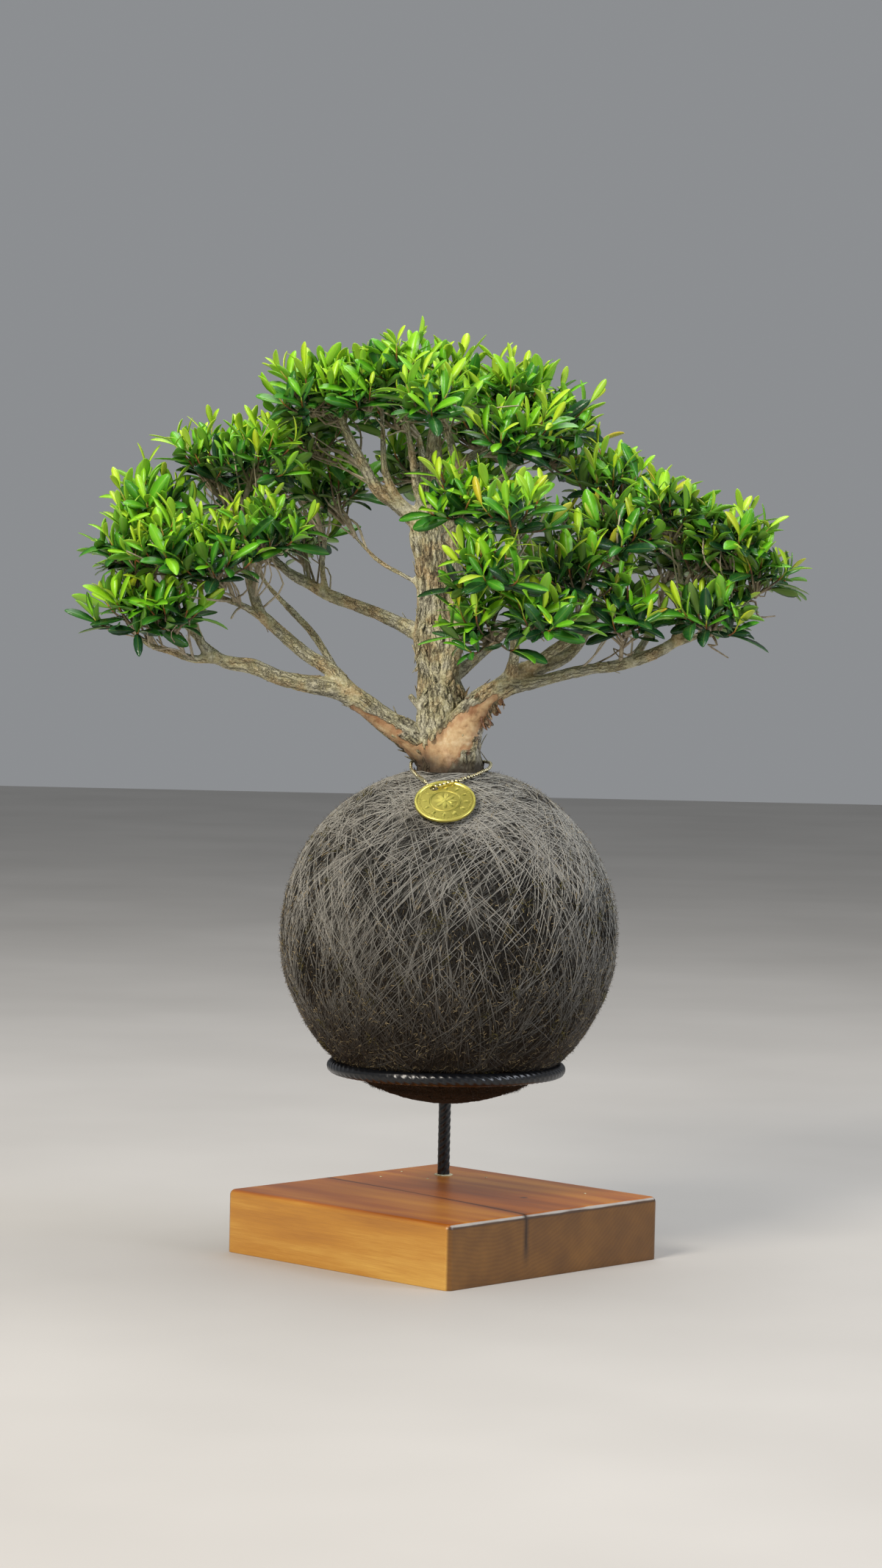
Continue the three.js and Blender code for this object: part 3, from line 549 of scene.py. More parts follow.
def fibre_finish(name, low, middle, high, roughness, clouds, low_shading):
    """Spun or loose plant fibre, matt: each strand has a shade of its own, and soft light and dark
    patches lie over them, as many in a metre as clouds says. The whole goes darker and browner low
    down, as painted shade and painted warm bounce light over the moss's own earthy brown, and warm
    brown under the ring, as painted shade and painted warm light bounced up from the wood."""
    material, tree, place = new_material(name)
    cloud = add(tree, "TexNoise", place, Scale=clouds, Detail=3.0)
    shade = add(tree, "Attribute", attribute_name="shade", give="Fac")
    tone = add(tree, "Math", shade, 0.8, -0.3, operation="MULTIPLY_ADD")
    tone = add(tree, "Math", cloud, 0.8, tone, operation="MULTIPLY_ADD")
    colour = add(tree, "ValToRGB", tone, stops=((0.2, low), (0.5, middle), (0.85, high)))
    height = add(tree, "SeparateXYZ", place, give="Z")
    # Painted shade and painted warm bounce light: darker and browner low down, over the moss's own
    # earthy brown.
    low_shade = add(tree, "MapRange", height, LOW_SHADE_TOP, LOW_SHADE_FULL, To_Max=low_shading)
    uneven = add(tree, "Math", cloud, 1.1, 0.4, operation="MULTIPLY_ADD")
    brown = add(tree, "Math", low_shade, uneven, operation="MULTIPLY")
    # Painted shade and painted warm light bounced up from the wood: warm brown under the ring.
    under = add(tree, "MapRange", height, RING_Z + BAR_RADIUS, RING_Z - BAR_RADIUS)
    for share, over in ((brown, "#261b0d"), (under, "#2c1900")):
        colour = add(tree, "Mix", share, colour, over, data_type="RGBA")
    return finished(material, Base_Color=colour, Roughness=roughness, Sheen_Weight=0.05,
                    Specular_IOR_Level=0.25)


def moss_finish():
    """Dried moss and peat between the threads: matt, dark brown, with olive and tan specks 2 mm
    wide and finer."""
    material, tree, place = new_material("dried moss and peat")
    speck = add(tree, "TexNoise", place, Scale=520.0, Detail=6.0, Roughness=0.7)
    colour = add(tree, "ValToRGB", speck, stops=(
        (0.3, "#0d0a07"), (0.5, "#1e1910"), (0.62, "#35301a"), (0.75, "#6b5c3b")))
    bump = add(tree, "Bump", Height=speck, Strength=1.0, Distance=0.001)
    return finished(material, Base_Color=colour, Roughness=0.95, Normal=bump)


def soil_finish():
    """Moist peaty potting soil: nearly black crumbs 2 mm wide."""
    material, tree, place = new_material("moist peaty soil")
    crumb = add(tree, "TexVoronoi", place, Scale=450.0)
    colour = add(tree, "ValToRGB", crumb, stops=((0.1, "#3a2a1c"), (0.7, "#150e08")))
    bump = add(tree, "Bump", Height=crumb, Strength=0.8, Distance=0.001)
    return finished(material, Base_Color=colour, Roughness=0.95, Normal=bump)


def bark_finish():
    """Old flaking bark: strips 3 mm wide and 20 mm long with dark cracks round them, made of strands
    0.7 mm wide, with scuffs 3 mm and grit 1 mm wide, in 14 mm patches of pale grey, olive and rust,
    and smooth tan wood where it has peeled. The skin's marks: "bark" is the place round and along
    the limb, in metres; "crack", "peel", "pale" and "rust" are shares; "alone" falls from 1 to 0
    where two limbs meet. Their strips and strands don't join there, so the scuffs take over."""
    material, tree, place = new_material("flaking bark")
    crack, peel, pale, rust, alone = (
        add(tree, "Attribute", attribute_name=mark, give="Fac")
        for mark in ("crack", "peel", "pale", "rust", "alone"))
    grit, scuff, patch, warp = (
        add(tree, "TexNoise", place, Scale=scale, Detail=detail, Roughness=roughness, give=give)
        for scale, detail, roughness, give in (
            (900.0, 4.0, 0.5, "Fac"), (330.0, 5.0, 0.6, "Fac"), (70.0, 4.0, 0.5, "Fac"),
            (260.0, 3.0, 0.5, "Color")))
    bark = add(tree, "Attribute", attribute_name="bark", give="Vector")
    bent = add(tree, "VectorMath", warp, (0.005, 0.005, 0.012), bark, operation="MULTIPLY_ADD")
    strips = add(tree, "TexVoronoi", add(tree, "Mapping", bent, Scale=(300, 300, 48)), Scale=1.0,
                 feature="DISTANCE_TO_EDGE")
    met = add(tree, "Math", 1.0, alone, operation="SUBTRACT")
    seam = add(tree, "ValToRGB", add(tree, "Math", strips, met, operation="ADD"),
               stops=((0.0, "#000000"), (0.12, "#ffffff")))
    fibre = add(tree, "TexNoise", add(tree, "Mapping", bent, Scale=(1500, 1500, 190)), Scale=1.0,
                Detail=5.0, Roughness=0.65)
    unlike = add(tree, "Math", fibre, scuff, operation="SUBTRACT")
    strand = add(tree, "Math", unlike, alone, scuff, operation="MULTIPLY_ADD")
    tone = add(tree, "Math", grit, 0.35, -0.05, operation="MULTIPLY_ADD")
    tone = add(tree, "Math", strand, 0.75, tone, operation="MULTIPLY_ADD")
    colour = add(tree, "ValToRGB", tone, stops=(
        (0.34, "#413c2c"), (0.44, "#98916f"), (0.54, "#d0caa6"), (0.66, "#f5f1da")))
    warmth = add(tree, "ValToRGB", patch, stops=(
        (0.38, "#b9b8ab"), (0.5, "#aca67e"), (0.62, "#b48e5c")))
    bare_tone = add(tree, "Math", scuff, 0.6, -0.25, operation="MULTIPLY_ADD")
    bare_tone = add(tree, "Math", patch, 0.9, bare_tone, operation="MULTIPLY_ADD")
    bare = add(tree, "ValToRGB", bare_tone, stops=(
        (0.3, "#8f6f4b"), (0.43, "#bd9b71"), (0.56, "#cbae83"), (0.72, "#dcc8a3")))
    # The peeled wood's border is ragged.
    ragged = add(tree, "Math", peel, 0.3, operation="ADD")
    ragged = add(tree, "Math", scuff, -0.7, ragged, operation="MULTIPLY_ADD")
    clean = add(tree, "MapRange", ragged, 0.3, 0.62)
    # Painted shade darkens the trunk's foot next to the ball, up to an uneven height.
    height = add(tree, "SeparateXYZ", place, give="Z")
    uneven = add(tree, "Math", patch, -0.03, height, operation="MULTIPLY_ADD")
    low_shade = add(tree, "MapRange", uneven, FOOT_SHADE_TOP, FOOT_SHADE_FULL, To_Max=0.9)
    bleached = add(tree, "Math", pale, 0.6, operation="MULTIPLY")
    seamed = add(tree, "Math", seam, -0.46, 0.46, operation="MULTIPLY_ADD")
    rusty = add(tree, "Math", rust, 0.8, operation="MULTIPLY")
    for share, over in ((0.45, warmth), (bleached, "#cdc8bb"), (seamed, "#332819"),
                        (crack, "#2a2118"), (clean, bare), (rusty, "#8a4a26"), (low_shade, "#2f2419")):
        colour = add(tree, "Mix", share, colour, over, data_type="RGBA")
    gloss = add(tree, "MapRange", clean, To_Min=0.92, To_Max=0.6)
    relief = add(tree, "Math", seam, 0.6, operation="MULTIPLY")
    relief = add(tree, "Math", tone, 0.6, relief, operation="MULTIPLY_ADD")
    barked = add(tree, "MapRange", clean, To_Min=1.0, To_Max=0.0)
    depth = add(tree, "Math", scuff, 0.3, operation="MULTIPLY")
    depth = add(tree, "Math", relief, barked, depth, operation="MULTIPLY_ADD")
    bump = add(tree, "Bump", Height=depth, Strength=1.0, Distance=0.0012)
    return finished(material, Base_Color=colour, Roughness=gloss, Normal=bump)


def twig_finish():
    """Bark of thin twigs: orange-green and smooth at the tip, grey-brown below, with pale flecks
    2 mm wide."""
    material, tree, place = new_material("twig bark")
    fleck = add(tree, "TexNoise", place, Scale=450.0, Detail=3.0)
    age = add(tree, "Attribute", attribute_name="age", give="Fac")
    tone = add(tree, "Math", age, 1.0, -0.25, operation="MULTIPLY_ADD")
    tone = add(tree, "Math", fleck, 0.5, tone, operation="MULTIPLY_ADD")
    colour = add(tree, "ValToRGB", tone, stops=(
        (0.05, "#93a83c"), (0.22, "#a8642c"), (0.45, "#553e2b"), (0.7, "#83745c"), (1, "#c9bea6")))
    return finished(material, Base_Color=colour, Roughness=0.7)


def leaf_finish():
    """Leathery evergreen leaves: yellow-lime when new, bright green when grown, and dark and glossy
    when old, paler underneath, mottled 4 mm wide, with a pale midrib, a thin pale rim and faint side
    veins. A few new ones are flushed with orange."""
    material, tree, place = new_material("leathery leaf")
    age, flush, under, across, along = (
        add(tree, "Attribute", attribute_name=mark, give="Fac")
        for mark in ("age", "flush", "under", "across", "along"))
    mottle = add(tree, "TexNoise", place, Scale=240.0, Detail=3.0)
    tone = add(tree, "Math", age, -0.1, operation="ADD")
    tone = add(tree, "Math", mottle, 0.2, tone, operation="MULTIPLY_ADD")
    colour = add(tree, "ValToRGB", tone, stops=(
        (0.0, "#b9dc2a"), (0.22, "#96d61f"), (0.45, "#69ba1c"), (0.68, "#3a8620"), (1, "#1b4526")))
    beside = add(tree, "Math", across, operation="ABSOLUTE")
    rib = add(tree, "ValToRGB", beside, stops=((0.03, "#8a8a8a"), (0.12, "#000000")))
    rim = add(tree, "ValToRGB", beside, stops=((0.84, "#000000"), (1, "#6a6a6a")))
    fresh = add(tree, "MapRange", age, To_Min=1.0, To_Max=0.3)
    lines = add(tree, "Math", rib, rim, operation="ADD")
    lines = add(tree, "Math", lines, fresh, operation="MULTIPLY")
    back = add(tree, "Math", under, 0.4, operation="MULTIPLY")
    for share, over in ((flush, "#d8a52a"), (lines, "#d6e86a"), (back, "#9fc456")):
        colour = add(tree, "Mix", share, colour, over, data_type="RGBA")
    # Side veins leave the midrib at a slant.
    slant = add(tree, "Math", beside, -0.22, along, operation="MULTIPLY_ADD")
    phase = add(tree, "Math", slant, 2 * math.pi * SIDE_VEINS, operation="MULTIPLY")
    vein = add(tree, "Math", phase, operation="SINE")
    gloss = add(tree, "MapRange", age, To_Min=0.4, To_Max=0.26)
    bump = add(tree, "Bump", Height=vein, Strength=0.06, Distance=0.0002)
    return finished(material, Base_Color=colour, Roughness=gloss, Normal=bump)


def gilt_brass(name, bright, grime_and_shade, roughness):
    """Polished brass with a thin gold wash: warm yellow, darker in the hollows, where grime stays, and
    at the chain's bead ends and links, as painted shade, and a little duller in patches 2 mm wide."""
    material, tree, place = new_material(name)
    wear = add(tree, "TexNoise", place, Scale=500.0, Detail=3.0)
    hollow = add(tree, "Attribute", attribute_name="hollow", give="Fac")
    colour = add(tree, "Mix", hollow, bright, grime_and_shade, data_type="RGBA")
    gloss = add(tree, "MapRange", wear, To_Min=roughness - 0.03, To_Max=roughness + 0.03)
    return finished(material, Base_Color=colour, Roughness=gloss, Metallic=1.0)


# ---------------------------------------------------------------- wooden block and filler

# The crack's line in the block's own axes: y = CRACK_Y + CRACK_SLOPE x + CRACK_BOW x².
CRACK_Y = -0.0154
CRACK_SLOPE = -0.0865
CRACK_BOW = -0.33
CRACK_WIDTH = 0.00042
CRACK_DEPTH = 0.0016
CRACK_OVERRUN = 0.002  # past both faces of the block
CRACK_FOOT, CRACK_FULL = 0.012, 0.03  # heights where it starts on the end grain and is full
SHORT_CRACK = [(-0.0521, 0.0621), (-0.0515, 0.0789), (-0.0494, 0.094)]
NAIL = (0.0443, 0.0237)
FOOT_BEVEL = 0.0004
HOLE_CLEARANCE = 0.0003
# Profiles as (radius, height) in mm, and the places of the crumbs on the block.
FILLER_ROWS = [(4.2, -2.0), (5.4, -2.0), (5.6, -0.2), (6.0, 0.1), (5.4, 0.55), (4.6, 0.7), (4.2, 0.6)]
CRUMB_ROWS = [(0.1, -0.1), (0.6, -0.05), (0.75, 0.15), (0.5, 0.4), (0.1, 0.5)]
CRUMBS = [(-0.0387, 0.0611), (-0.0098, 0.0559), (0.0264, 0.0679), (-0.026, 0.0859), (0.0858, 0.0075)]


def in_frame(points):
    """Points of the block's own axes in the frame's axes."""
    cos, sin = math.cos(BASE_TURN), math.sin(BASE_TURN)
    return points @ np.array([[cos, sin, 0], [-sin, cos, 0], [0, 0, 1]])


def block_shape():
    """The outline is a square with round corners. Each ring of the profile is the outline drawn in
    by an inset, and the top edge is a quarter circle."""
    half = BASE_SIDE / 2
    quarter = np.linspace(0, np.pi / 2, 7)
    turns = np.concatenate([quarter + k * np.pi / 2 for k in range(4)])
    corner = np.repeat([[1, 1], [-1, 1], [-1, -1], [1, -1]], len(quarter), axis=0)
    arc = np.linspace(0, np.pi / 2, 9)
    inset = np.concatenate([
        [0.02, FOOT_BEVEL * 2, FOOT_BEVEL, 0, 0], BASE_ROUNDOVER * (1 - np.cos(arc)),
        [BASE_ROUNDOVER + 0.0006, 0.03]])
    level = np.concatenate([
        [0, 0, 0, FOOT_BEVEL, BASE_ROUNDOVER], BASE_TOP - BASE_ROUNDOVER * (1 - np.sin(arc)),
        [BASE_TOP, BASE_TOP]])
    radius = np.maximum(BASE_CORNER - inset, 0.0002)[:, None, None]
    way = np.stack([np.cos(turns), np.sin(turns)], -1)
    outline = corner * (half - inset[:, None, None] - radius) + way * radius
    heights = np.broadcast_to(level[:, None, None], (*outline.shape[:2], 1))
    points = np.concatenate([outline, heights], -1)
    return Shape(in_frame(points), ring_faces((1, *outline.shape[:2]), False), {})


def crack_shapes():
    """Thin bars with four sides, so that they cut wedges: one along the top on the crack's line,
    with a noise of half a millimetre added, one down the end-grain face, and one on the short crack
    behind the stem, which thins to both ends by a sine."""
    half = BASE_SIDE / 2
    x = np.linspace(-half - CRACK_OVERRUN, half + CRACK_OVERRUN, 40)
    wobble = 0.0005 * (noise(np.stack([x / 0.012, 0 * x, 0 * x], -1), 5) - 0.5)
    line = CRACK_Y + CRACK_SLOPE * x + CRACK_BOW * x**2 + wobble
    top = np.stack([x, line, 0 * x + BASE_TOP], -1)
    z = np.linspace(BASE_TOP + 0.001, CRACK_FOOT, 14)
    down = np.stack([0 * z + half, 0 * z + line[-1], z], -1)
    fade = smooth_between(CRACK_FOOT, CRACK_FULL, z)[:, None]
    short = smooth_path([(*place, BASE_TOP) for place in SHORT_CRACK], 12)
    thin = np.sin(np.linspace(0.1, np.pi - 0.1, 12))[:, None]
    wedge = np.array([CRACK_DEPTH, CRACK_WIDTH / 2] * 2)
    return [
        bars(in_frame(top)[None], wedge, 4, UP),
        bars(in_frame(down)[None], wedge * (0.2 + 0.8 * fade), 4, in_frame(np.array([1.0, 0, 0]))),
        bars(in_frame(short)[None], 0.7 * wedge * thin, 4, UP),
    ]


def wooden_block():
    """The board, with the stem's hole and the cracks cut out of it."""
    block = piece("oiled_block", block_shape(), [oiled_wood()], "oiled_wood", "base_block")
    stem = np.array([[[0, STEM_Y, STEM_LOW.z - HOLE_CLEARANCE], [0, STEM_Y, BASE_TOP + 0.002]]])
    cut(block, bars(stem, BAR_RADIUS + HOLE_CLEARANCE, 32, (1, 0, 0)))
    for wedge in crack_shapes():
        cut(block, wedge)
    settle(block, "WEIGHTED_NORMAL", keep_sharp=True)


def filler_collar():
    """A low, uneven collar, turned from its profile: its rim and its height wander with a noise,
    by half a millimetre. Dropped crumbs of the same filler are flattened lumps about 1 mm wide."""
    collar = turned(in_metres(FILLER_ROWS), 40)
    wander = rough_noise(collar.points * 900, 31) - 0.5
    outward = smooth_between(0.0042, 0.0055, np.hypot(collar.points[:, 0], collar.points[:, 1]))
    collar.points[:, :2] *= (1 + 0.22 * outward * wander)[:, None]
    collar.points[:, 2] += 0.0004 * wander * (collar.points[:, 2] > -0.001)
    collar.points += (0, STEM_Y, BASE_TOP)
    crumbs = []
    for number, (x, y) in enumerate(CRUMBS):
        crumb = turned(in_metres(CRUMB_ROWS), 10)
        crumb.points *= 0.7 + 0.6 * noise(crumb.points * 1500 + number * 5, 33)[:, None]
        crumb.points += (x, y, BASE_TOP)
        crumbs.append(crumb)
    piece("filler_collar", joined([collar, *crumbs]), [wood_filler()], "wood_filler", "stem_filler")


# ---------------------------------------------------------------- steel stand

RIB_PITCH = 0.0046
RIB_HEIGHT = 0.00042
RIB_SLANT = 6.0  # radians of the pitch, from a rib's middle to its end
LONG_RIB_WIDTH = 0.07  # the share of the bar's half width that a long rib takes
RING_TWIST = (-0.8, 1.6, math.radians(-116))  # the bent bar's roll: its middle, its swing and where
STEM_TWIST = 1.1
BAR_CORE = 0.0036
BAR_SIDES = 28
RING_STATIONS, STEM_STATIONS = 9, 10  # along each rib's pitch
WELD_SQUEEZE = 0.6  # the weld's depth as a share of its height


def ribbed(path, twist):
    """A ribbed bar's radii: a round core with two long ribs on opposite sides, and between them
    slanting ribs at every pitch, each flat on top and gone where it meets the long ribs. Where the
    two overlap the higher counts. The twist rolls the bar about its own line, by one value or one
    for each station."""
    steps = np.linalg.norm(path - np.roll(path, 1, axis=0), axis=1)
    steps[0] = steps[1]
    along = np.cumsum(steps)[:, None]
    turns = around(BAR_SIDES) + np.reshape(twist, (-1, 1))
    row = np.sin(turns)
    slant = RIB_SLANT * np.cos(turns) * np.sign(row)
    phase = 2 * np.pi * along / RIB_PITCH + slant
    cross_rib = smooth_between(-0.1, 0.7, np.cos(phase)) * np.abs(row) ** 0.7
    long_rib = np.maximum(np.abs(np.cos(turns)) - 1 + LONG_RIB_WIDTH, 0) / LONG_RIB_WIDTH
    return (BAR_CORE + RIB_HEIGHT * np.maximum(cross_rib, 0.8 * long_rib))[None]


def weld_shape():
    """A lump that fills the weld's box in height and width: a bar whose radius follows a sine along
    it, made uneven by noise and squeezed in depth towards the stem's middle."""
    low, high = (np.array(corner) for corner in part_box("weld_bead"))
    turns = np.linspace(0.08, np.pi - 0.08, 18)
    poles = np.stack([-np.cos(turns), 0 * turns, 0 * turns], -1) * (high - low) / 2
    lump = rough_noise(np.stack(np.broadcast_arrays(
        turns[:, None] * 3, np.linspace(0, 6, 24)[None], 0.0), -1), 8)
    radii = np.sin(turns)[:, None] * (high - low)[2] / 2 * (0.8 + 0.4 * lump)
    weld = bars((poles + (low + high) / 2)[None], radii[None], 24, UP)
    weld.points[:, 1] = (weld.points[:, 1] - STEM_Y) * WELD_SQUEEZE + STEM_Y
    return weld


def stand():
    """The ring, the stem under its back and the weld between them."""
    enamel = black_enamel()
    count = int(2 * np.pi * RING_RADIUS / RIB_PITCH) * RING_STATIONS
    turns = around(count)
    circle = np.stack([np.cos(turns), np.sin(turns), 0 * turns], -1) * RING_RADIUS
    circle[:, 2] = RING_Z
    roll, swing, there = RING_TWIST
    twist = roll + swing * np.sin(turns - there)
    ring = bars(circle[None], ribbed(circle, twist), BAR_SIDES, UP, closed=True)
    piece("ribbed_ring", ring, [enamel], "black_enamel", "ring_bar")
    z = np.arange(STEM_LOW.z, STEM_HIGH.z, RIB_PITCH / STEM_STATIONS)
    upright = np.stack([0 * z, 0 * z + STEM_Y, z], -1)
    stem = bars(upright[None], ribbed(upright, STEM_TWIST), BAR_SIDES, (0, -1, 0))
    piece("ribbed_stem", stem, [enamel], "black_enamel", "stem_bar")
    piece("weld", weld_shape(), [enamel], "black_enamel", "weld_bead")


# ---------------------------------------------------------------- moss, thread and fibres

THREAD_WIDTH = 0.0005
THREAD_BUNDLES = 200
THREADS_A_BUNDLE = 9
THREAD_STATIONS = 52
THREAD_PIECES = 4
NECK = math.radians(13.5)  # the closest that a turn passes to the ball's top, beside the trunk
WIDEST = math.radians(52)  # and the furthest: no turn lies flat round the ball's middle
LOWEST = math.radians(11)  # a turn may lie this far below a circle round the ball's middle
# Waves as (waves in one turn, size): across the turn, shared by a bundle or a thread's own, in radii
# of the ball, and a thread's own in depth, in metres, about a mean depth and within limits.
SHARED_WAVES = ((2, 0.010), (3, 0.006), (5, 0.003))
OWN_WAVES = ((7, 0.002), (11, 0.0014))
DEPTH_WAVES = ((3, 0.0003), (5, 0.0003), (8, 0.00025), (13, 0.00022), (19, 0.0002))
THREAD_DEPTH = 0.0011
DEPTH_LIMITS = (0.0001, 0.0022)
THREAD_SHADE = (0.38, 0.19)  # a mean and its spread, at the mean depth
SHADE_DEPTH = 0.0012  # painted shade: so much more depth takes a shade of 1 away
BUNDLE_SPREAD = (0.045, 0.06)  # of a bundle's threads, in nearness and in heading, in radians
TUFT_SPREAD = 0.018  # of a tuft's fibres, in radii of the ball
LUMP_HEIGHT = 0.0016
LUMP_SIZE = 0.025
FIBRE_ROOT = 0.0008  # the depth that loose fibres start at
MOSS_DEPTH = 0.0017  # of the moss's outer wall under the thread's
MOSS_THICKNESS = 0.008
MOSS_GRAIN, MOSS_RELIEF = 0.0022, 0.0014  # the width and height of its roughness
MOSS_OPENING = 0.02  # the radius of the gap that the trunk stands in
# The loose fibres, as what loose_fibres takes.
LYING = {"seed": 200, "count": 13500, "power": 0.48, "length": (0.0009, 0.0030),
         "lift": (0.0003, 0.0014), "width": 0.00036, "curl": 0.6, "shade": (0.5, 0.3)}
THREAD_ENDS = {"seed": 203, "count": 6000, "power": 0.6, "length": (0.0018, 0.0050),
               "lift": (0.0004, 0.0016), "width": 0.00038, "curl": 0.9, "shade": (0.66, 0.25),
               "stations": 4}
FUZZ = {"seed": 201, "count": 7000, "power": 0.85, "length": (0.0003, 0.0012),
        "lift": (0.0009, 0.0028), "width": 0.00020, "curl": 0.9, "shade": (0.4, 0.2)}
TUFTS = {"seed": 202, "count": 2600, "power": 0.7, "length": (0.0006, 0.0028),
         "lift": (0.0006, 0.0018), "width": 0.0004, "curl": 0.7, "shade": (0.5, 0.25), "tufts": 130}


def lumps(directions):
    """How far the moss swells under the thread, in metres: a smooth noise."""
    return LUMP_HEIGHT * (noise(directions * BALL_RADIUS / LUMP_SIZE + 7, 3) - 0.5)


def moss_bed():
    """A turned shell, open round the trunk: its profile is two arcs, one inside the other, and the
    outer one's surface is roughened by a noise and lifted by the lumps."""
    moss_radius = BALL_RADIUS - MOSS_DEPTH
    opening = math.asin(MOSS_OPENING / moss_radius)
    outer = np.linspace(0.004, np.pi - opening, 110)
    inner = np.linspace(np.pi - opening, 0.02, 24)
    radius = np.concatenate([0 * outer + moss_radius, 0 * inner + moss_radius - MOSS_THICKNESS])
    turns = np.concatenate([outer, inner])
    bed = turned(list(zip(radius * np.sin(turns), -radius * np.cos(turns))), 200)
    way = unit(bed.points)
    outside = np.linalg.norm(bed.points, axis=1) > moss_radius - 0.001
    rough = rough_noise(way * BALL_RADIUS / MOSS_GRAIN, 11, 3) - 0.5
    bed.points += way * (outside * (MOSS_RELIEF * rough + lumps(way)))[:, None]
    bed.points += BALL_MIDDLE
    piece("moss_bed", bed, [moss_finish()], "moss", "moss_layer")


def winding(seed, bundles):
    """Turns of thread. Each lies on a circle about the ball that passes the trunk on one side: its
    plane's normal leans so that the turn comes no nearer to the top than the neck, and the plane
    may lie a little below the ball's middle. A slow wander is added across it, which the threads of
    one bundle share, and a faster one of each thread's own. Waves in depth take each under and over
    the others. Each has a random shade, and is darker where it lies deeper, as painted shade in the
    gaps between the turns."""
    rng = np.random.default_rng(seed)
    nearest = NECK + (WIDEST - NECK) * rng.random(bundles) ** 1.6
    below = rng.uniform(0, LOWEST, bundles) * np.cos(nearest)
    heading = rng.uniform(0, 2 * np.pi, bundles)
    nearest, below, heading = (
        np.repeat(v, THREADS_A_BUNDLE) for v in (nearest, below, heading))
    count = len(nearest)
    nearest = np.maximum(nearest + rng.normal(0, BUNDLE_SPREAD[0], count), NECK)
    heading = heading + rng.normal(0, BUNDLE_SPREAD[1], count)
    lean = nearest - below
    normal = np.stack([np.cos(lean) * np.cos(heading), np.cos(lean) * np.sin(heading),
                       np.sin(lean)], -1)[:, None]
    side = unit(np.cross(normal, UP))
    other = np.cross(normal, side)
    turn = around(THREAD_STATIONS)[None, :, None]

    def waves(sizes, each=1):
        """Sines of random sizes and starts, one for every each threads."""
        shape = (count // each, 1, 1)
        pairs = [(k, size * rng.normal(size=shape), rng.uniform(0, 2 * np.pi, shape))
                 for k, size in sizes]
        return sum(np.repeat(size, each, axis=0) * np.sin(k * turn + np.repeat(start, each, axis=0))
                   for k, size, start in pairs)

    shift = waves(SHARED_WAVES, THREADS_A_BUNDLE) + waves(OWN_WAVES) - np.tan(below)[:, None, None]
    way = unit(np.cos(turn) * side + np.sin(turn) * other + normal * shift)
    depth = THREAD_DEPTH + waves(DEPTH_WAVES)[..., 0]
    height = BALL_RADIUS + lumps(way) - np.clip(depth, *DEPTH_LIMITS)
    paths = BALL_MIDDLE + way * height[..., None]
    # Painted shade: a thread is darker where it dives deeper under the others.
    shade = rng.normal(*THREAD_SHADE, (count, 1)) + (THREAD_DEPTH - depth) / SHADE_DEPTH
    return bars(paths, THREAD_WIDTH / 2, 3, way, closed=True,
                shade=np.clip(shade, 0, 1)[..., None])


def on_ball(rng, count, power, tufts=0):
    """Random directions from the ball's middle: the smaller the power, the more of them lie low
    down, but none at the trunk or right underneath. With tufts, they gather round that many
    places."""
    z = 1 - 2 * rng.random(tufts or count) ** power
    z = np.clip(z, -0.9, math.cos(NECK * 1.2))
    heading = rng.uniform(0, 2 * np.pi, len(z))
    across = np.sqrt(1 - z * z)
    way = np.stack([across * np.cos(heading), across * np.sin(heading), z], -1)
    if tufts:
        way = way[rng.integers(0, tufts, count)] + rng.normal(0, TUFT_SPREAD, (count, 3))
    return unit(way)


def loose_fibres(seed, count, power, length, lift, width, curl, shade, tufts=0, stations=3):
    """Short curved fibres: each starts on the ball in its own direction, runs along it, and bends
    aside and lifts off by the square of the way along it. length and lift are ranges in metres,
    curl spreads the bend as a share of the length, and shade is a mean and its spread."""
    rng = np.random.default_rng(seed)
    way = on_ball(rng, count, power, tufts)[:, None]
    side = unit(np.cross(way, rng.normal(size=(count, 1, 3))))
    other = np.cross(way, side)
    share = np.linspace(0, 1, stations)[None, :, None]
    size = rng.uniform(*length, (count, 1, 1))
    rise = rng.uniform(*lift, (count, 1, 1))
    bow = rng.normal(0, curl, (count, 1, 1))
    path = (way * (BALL_RADIUS - FIBRE_ROOT + rise * share**2)
            + side * size * share + other * size * bow * share**2)
    path += way * lumps(way)[..., None]
    thin = width / 2 * (1 - 0.6 * share)
    own = np.clip(rng.normal(*shade, (count, 1, 1)), 0, 1)
    return bars(BALL_MIDDLE + path, thin, 3, way, shade=own)


def wound_ball():
    """The moss, the thread round it, the loose fibres on it, and the soil inside in a finish of its
    own on the CAD shape."""
    moss_bed()
    thread = fibre_finish("dark grey spun thread", "#090908", "#2e2d29", "#a5a39b", 0.8, 26.0, 1.0)
    for k in range(THREAD_PIECES):
        shape = winding(100 + k, THREAD_BUNDLES // THREAD_PIECES)
        piece(f"thread_turns_{k + 1}", shape, [thread], "thread", "thread_wrap")
    fibre = fibre_finish("loose moss fibre", "#110c07", "#58482f", "#c6b287", 0.85, 90.0, 0.2)
    olive = fibre_finish("olive moss tuft", "#17150a", "#403c1b", "#8d8240", 0.9, 120.0, 0.3)
    piece("lying_fibres", loose_fibres(**LYING), [fibre], "moss")
    piece("loose_thread_ends", loose_fibres(**THREAD_ENDS), [thread], "thread")
    piece("standing_fuzz", loose_fibres(**FUZZ), [fibre], "moss")
    piece("moss_tufts", loose_fibres(**TUFTS), [olive], "moss")
    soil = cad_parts["soil_ball"].data.materials
    soil.clear()
    soil.append(soil_finish())


# ---------------------------------------------------------------- trunk and limbs

LINE_STEPS = 5  # along a limb's line, for each of its stations
VOXEL = 0.00095
LIMB_APART = 0.05  # moves each limb's bark in the pattern, so that no two are alike
MEETING = 0.0028  # within this of another limb's surface, two limbs meet
# Heights of the bark's relief: lobes and knots as shares of the limb's radius, the rest in metres.
LOBES = 0.16
KNOTS = 0.10
PLATES = 0.0018
FURROWS = 0.0012
GRAIN = 0.0005
PEEL_DEPTH = 0.0006
SCAR_DEPTH = 0.0004
